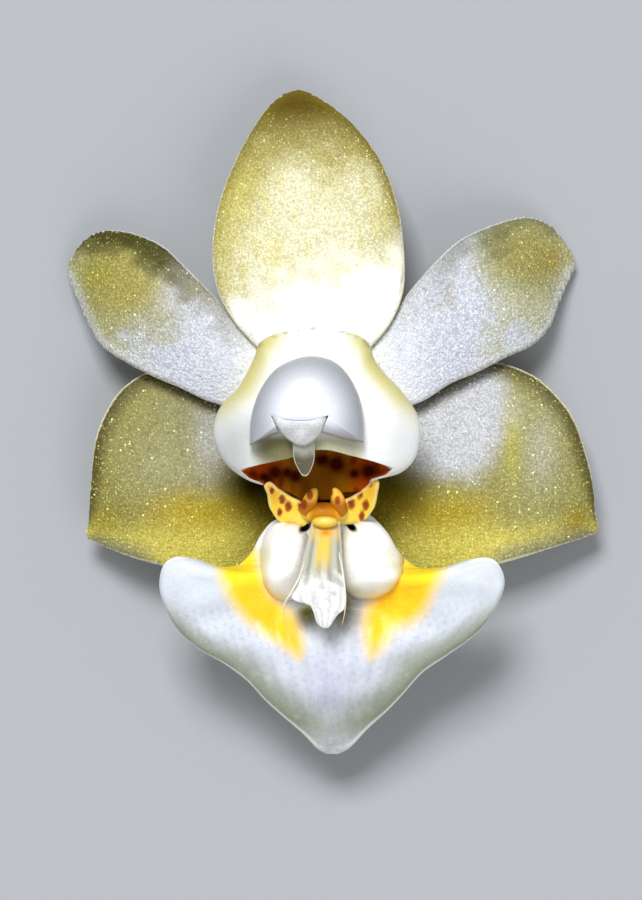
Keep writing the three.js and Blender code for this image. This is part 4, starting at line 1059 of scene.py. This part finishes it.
# Painted shade: the pits beside the side lobes are darkened.
for place in PITS:
    colour = wash(colour, "#4a300c", pit(at, *place))
along_line = smoothstep(-1.9, -2.1, y) * smoothstep(-6.66, -6.4, y)
margin_line = (1 - smoothstep(0.02, 0.06, leaf.inset)) * along_line
colour = wash(colour, "#fbfcf4", margin_line * 0.9)
back = wash(one_colour(at, "#e6e9dd"), "#8a5408", smoothstep(-1.9, -1.75, y))
colour = np.where(leaf.front[:, None] > 0, colour, back)
paint(midlobe, colour, 0.7)
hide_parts("lip")
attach(midlobe, "root")


# The lip's side lobes: two short yellow horns with red-brown spots, standing up on either side of the mouth.
# Each is a small smooth leaf that grows out of the lip's base beside the callus.
SIDE_LOBES = {
    "left": [
        [(-0.62, -2.12, 2.5), (-0.36, -1.95, 2.55), 2.6],
        [(-0.99, -2.05, 2.6), (-0.5, -1.7, 2.8), 2.66],
        [(-1.18, -1.79, 2.9), (-0.8, -1.56, 2.95), 2.84],
        [(-1.23, -1.53, 3.15), (-1.02, -1.42, 3.15), 3.1],
        [(-1.25, -1.29, 3.42), (-1.25, -1.29, 3.42), 3.42],
    ],
    "right": [
        [(0.0, -1.93, 2.55), (0.25, -2.08, 2.5), 2.6],
        [(0.13, -1.68, 2.8), (0.6, -2.02, 2.6), 2.66],
        [(0.42, -1.54, 2.95), (0.79, -1.79, 2.9), 2.84],
        [(0.67, -1.36, 3.15), (0.86, -1.5, 3.15), 3.1],
        [(0.85, -1.22, 3.42), (0.85, -1.22, 3.42), 3.42],
    ],
}
LOBE_SPOTS = [
    (-1.18, -1.39, 0.06), (-0.98, -1.56, 0.08), (-0.86, -1.7, 0.09), (-1.03, -1.83, 0.07), (-0.6, -1.7, 0.1),
    (0.2, -1.79, 0.1), (0.39, -1.64, 0.1), (0.56, -1.46, 0.08), (0.68, -1.67, 0.09), (0.6, -1.89, 0.08),
    (0.77, -1.27, 0.05),
]


def spotted(points, colour):
    """The lobes' red-brown spots, longer than wide, darker in their middles and ragged."""
    ragged = 0.012 * wander(points, 0.12, 51)
    for x, y, size in LOBE_SPOTS:
        away = np.hypot((points[:, 0] - x) * 1.2, (points[:, 1] - y) * 0.75) + ragged
        colour = wash(colour, "#b0500c", smoothstep(size * 1.2, size * 0.7, away) * 0.9)
        colour = wash(colour, "#7a2602", smoothstep(size * 0.85, size * 0.3, away) * 0.85)
    return colour


lobe_flesh = flesh("lobe_tissue", pitch=0.03, glint=0.3, gap=0.15, roughness=0.35, relief=0.003, glow=0.2)
for name, rows in SIDE_LOBES.items():
    leaf = sheet(blade_surface(rows), rows=80, front=60, back=24, tissue=0.35, margin=0.14)
    lobe = body(f"lip_side_lobe_{name}", leaf.shape, leaf.points, lobe_flesh)
    colour = one_colour(leaf.points, "#ffd640")
    colour = wash(colour, "#fbe35e", (1 - smoothstep(0.1, 0.5, leaf.u)) * 0.9)
    colour = wash(colour, "#f2ab24", smoothstep(0.5, 0.9, leaf.u) * 0.7)
    colour = spotted(leaf.points, colour)
    colour = wash(colour, "#fff3b0", (1 - smoothstep(0.006, 0.018, leaf.inset)) * 0.5)
    paint(lobe, colour)
    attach(lobe, "root")


# The callus between the lobes: a golden boss with two blunt teeth, a yellow bar in front of it, and a torn
# pale tongue that rises over the cheeks. Two hair-fine threads hang beside the tongue.
CALLUS = {"route": [(-0.58, -1.82, 2.7), (-0.16, -1.84, 2.78), (0.3, -1.82, 2.7)], "radius": 0.22}
TEETH = [
    [(-0.46, -1.78, 2.72), (-0.42, -1.56, 2.92), (-0.31, -1.34, 3.02)],
    [(0.14, -1.78, 2.72), (0.12, -1.56, 2.92), (0.05, -1.33, 3.02)],
]
TOOTH_RADIUS = 0.19
TOOTH_SPOTS = [(-0.43, -1.47, 0.07), (-0.55, -1.66, 0.07), (-0.02, -1.42, 0.05), (0.12, -1.58, 0.06)]
BAR = {"route": [(-0.39, -2.0, 3.02), (-0.13, -2.01, 3.1), (0.12, -2.0, 3.02)], "radius": 0.115}
TONGUE = [
    [(-0.35, -2.05, 2.8), (0.12, -2.05, 2.8), 2.88],
    [(-0.43, -2.4, 3.02), (0.15, -2.4, 3.02), 3.12],
    [(-0.51, -2.7, 3.22), (0.17, -2.72, 3.22), 3.32],
    [(-0.58, -3.0, 3.4), (0.2, -3.03, 3.4), 3.48],
    [(-0.66, -3.28, 3.5), (0.22, -3.36, 3.5), 3.56],
    [(-0.74, -3.47, 3.52), (0.22, -3.62, 3.52), 3.58],
    [(-0.56, -3.54, 3.53), (0.18, -3.71, 3.52), 3.58],
    [(-0.38, -3.62, 3.53), (0.08, -3.79, 3.5), 3.56],
    [(-0.3, -3.76, 3.52), (0.01, -3.88, 3.5), 3.54],
    [(-0.24, -3.96, 3.48), (-0.05, -3.99, 3.47), 3.5],
    [(-0.13, -4.05, 3.45), (-0.13, -4.05, 3.45), 3.45],
]
PLEAT_HEIGHT = 0.02
THREADS = [
    [(-0.45, -2.5, 3.1), (-0.62, -3.05, 3.5), (-0.79, -3.38, 3.6), (-0.93, -3.62, 3.5), (-0.94, -3.88, 3.3),
     (-0.86, -4.15, 3.1)],
    [(0.12, -2.5, 3.1), (0.21, -2.95, 3.5), (0.27, -3.44, 3.62), (0.26, -3.78, 3.5), (0.2, -4.09, 3.2)],
]
THREAD_RADIUS = 0.022


def stem(route, radius, steps, around):
    """The ring points of a body along a smooth route. Each ring stands square to the route, and its radius
    is a function of the share of the way and of the angle round it."""
    t = np.linspace(0, 1, steps)
    line = smooth_line(route, t)
    along = np.gradient(line, axis=0)
    along /= np.linalg.norm(along, axis=1, keepdims=True)
    aside = np.cross(along, (0, 0, 1) if abs(along[:, 2]).max() < 0.9 else (1, 0, 0))
    aside /= np.linalg.norm(aside, axis=1, keepdims=True)
    up = np.cross(aside, along)
    turn = np.linspace(0, 2 * np.pi, around, endpoint=False)
    r = (radius(t[:, None], turn[None, :]) + 0 * turn)[..., None]
    spoke = aside[:, None] * np.cos(turn)[:, None] + up[:, None] * np.sin(turn)[:, None]
    points = line[:, None] + spoke * r
    return points.shape[:2], np.vstack([points.reshape(-1, 3), line[0], line[-1]])


def blunt(size):
    """A radius that swells from nothing to the size and back, as an ellipsoid's does."""
    return lambda t, turn: size * np.sqrt(np.clip(1 - (2 * t - 1) ** 2, 0.0004, 1))


def horn(size):
    """A radius that starts at the size, shrinks by half and closes in a round tip."""
    return lambda t, turn: size * (1 - 0.5 * t) * np.sqrt(np.clip(1 - t**6, 0.0004, 1))


boss = body("lip_callus", *stem(CALLUS["route"], blunt(CALLUS["radius"]), 60, 48), lobe_flesh)
at = vertices(boss)
colour = one_colour(at, "#ffdc50")
colour = wash(colour, "#c47c00", smoothstep(0.42, 0.2, np.abs(at[:, 0] + 0.15)) * 0.9)
colour = wash(colour, "#a85f0a", spot(at, -0.15, -1.68, 0.28, 0.12))
paint(boss, spotted(at, colour), 0.3)
for number, route in enumerate(TEETH):
    tooth = body(f"lip_tooth_{number + 1}", *stem(route, horn(TOOTH_RADIUS), 40, 32), lobe_flesh)
    at = vertices(tooth)
    colour = one_colour(at, "#f5bb45")
    colour = wash(colour, "#a85f0a", smoothstep(-1.5, -1.7, at[:, 1]) * 0.9)
    for a, b, size in TOOTH_SPOTS:
        colour = wash(colour, "#8e2c06", smoothstep(0.25, 0.6, spot(at, a, b, size, size * 1.6)) * 0.9)
    paint(tooth, colour, 0.5)
    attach(tooth, "root")
bar = body("lip_bar", *stem(BAR["route"], blunt(BAR["radius"]), 50, 40), lobe_flesh)
at = vertices(bar)
paint(bar, wash(one_colour(at, "#e6bc38"), "#f3dc74", spot(at, -0.1, -1.98, 0.2, 0.06)))

tongue_flesh = flesh("tongue_tissue", pitch=0.04, glint=0.5, gap=0.15, roughness=0.25, relief=0.003,
                     glow=0.35)


def pleats(points, inset, normal):
    """The tongue's relief: fine creases that run down it, a cosine of the place across its width, which
    fans out towards the end."""
    fan = (points[:, 0] + 0.13) / (0.26 - 0.12 * (points[:, 1] + 2.05))
    return normal * (PLEAT_HEIGHT * np.cos(13 * fan + 2 * fan**2) * smoothstep(0.02, 0.1, inset))[:, None]


leaf = sheet(blade_surface(TONGUE), rows=150, front=110, back=30, tissue=0.12, margin=0.07, relief=pleats)
torn = body("lip_tongue", leaf.shape, leaf.points, tongue_flesh)
at = leaf.points
y = at[:, 1]
middle = 1 - np.abs(2 * leaf.v - 1)
crease = 0.5 + 0.5 * np.cos(2 * np.pi * 4.5 * leaf.v + 0.5)
colour = one_colour(at, "#b9bab2")
colour = washes(colour, [
    ("#7f7f6c", smoothstep(0.3, 0.9, crease) * 0.6),
    ("#e9c948", smoothstep(0.45, 0.85, middle) * smoothstep(-3.1, -2.6, y) * 0.85),
    ("#e9c76a", smoothstep(-2.5, -2.2, y) * 0.6),
    ("#ef8f22", spot(at, -0.12, -2.22, 0.12, 0.07)),
    ("#eceef0", smoothstep(-3.0, -3.4, y + 0.2 * wander(at[:, :2], 0.25, 62))),
    ("#a9aca6", smoothstep(0.5, 1.0, crease) * smoothstep(-3.0, -3.4, y) * 0.5),
    ("#f7f7f2", (1 - smoothstep(0.01, 0.03, leaf.inset)) * 0.6),
])
paint(torn, colour, 0.35 + 0.65 * smoothstep(-2.9, -3.3, y))

for number, route in enumerate(THREADS):
    thread = body(f"lip_thread_{number + 1}", *stem(route, horn(THREAD_RADIUS), 80, 12), tongue_flesh)
    at = vertices(thread)
    golden_end = smoothstep(-3.5, -4.1, at[:, 1]) * 0.5
    paint(thread, wash(one_colour(at, "#f3ecdc"), "#d9a566", golden_end))
    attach(thread, "root")
for piece in (boss, bar, torn):
    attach(piece, "root")


# The flower stalk, with the ovary in it: a ribbed pale green rod. It leaves the column straight back, turns
# towards the lip in a quarter circle and lies along the table to where it was cut.
STALK_RADIUS = 0.5
STALK_AXIS_HEIGHT = 0.44
STALK_TOP = 1.2
STALK_BEND_TOP = 1.12
STALK_RIBS = 6
STALK_RIB_HEIGHT = 0.035
STALK_RUN = [(-0.3, -1.6), (-0.25, -2.8), (-0.17, -4.0), (-0.11, -5.3)]


def ribbed(t, turn):
    """The stalk's radius: ribbed all round by a cosine of the angle, and thinner towards the column."""
    return STALK_RADIUS + STALK_RIB_HEIGHT * np.cos(STALK_RIBS * turn) - 0.05 * (1 - t) ** 2


bend = STALK_BEND_TOP - STALK_AXIS_HEIGHT
turns = np.linspace(0, np.pi / 2, 5)
route = [(COLUMN_AXIS[0], COLUMN_AXIS[1], STALK_TOP)]
for a in turns[1:]:
    route.append((COLUMN_AXIS[0], COLUMN_AXIS[1] - bend * (1 - np.cos(a)), STALK_BEND_TOP - bend * np.sin(a)))
route += [(x, y, STALK_AXIS_HEIGHT) for x, y in STALK_RUN]
stalk_flesh = flesh("stalk_tissue", pitch=0.05, glint=0.3, gap=0.15, roughness=0.4, relief=0.004, glow=0.2)
shape, points = stem(route, ribbed, steps=160, around=96)
points[:, 2] = np.maximum(points[:, 2], 0)
stalk = body("stalk_dressed", shape, points, stalk_flesh)
around = np.append(np.tile(np.linspace(0, 2 * np.pi, shape[1], endpoint=False), shape[0]), (0, 0))
colour = one_colour(points, "#c9d29a")
colour = washes(colour, [
    ("#93a35b", np.clip(-np.cos(STALK_RIBS * around), 0, 1) * 0.7),
    ("#e6e8cf", smoothstep(-1.6, -0.2, points[:, 1]) * 0.6),
    ("#a99b6c", smoothstep(-5.22, -5.29, points[:, 1]) * 0.8),
])
paint(stalk, colour)
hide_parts("ovary_pedicel")
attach(stalk, "root")
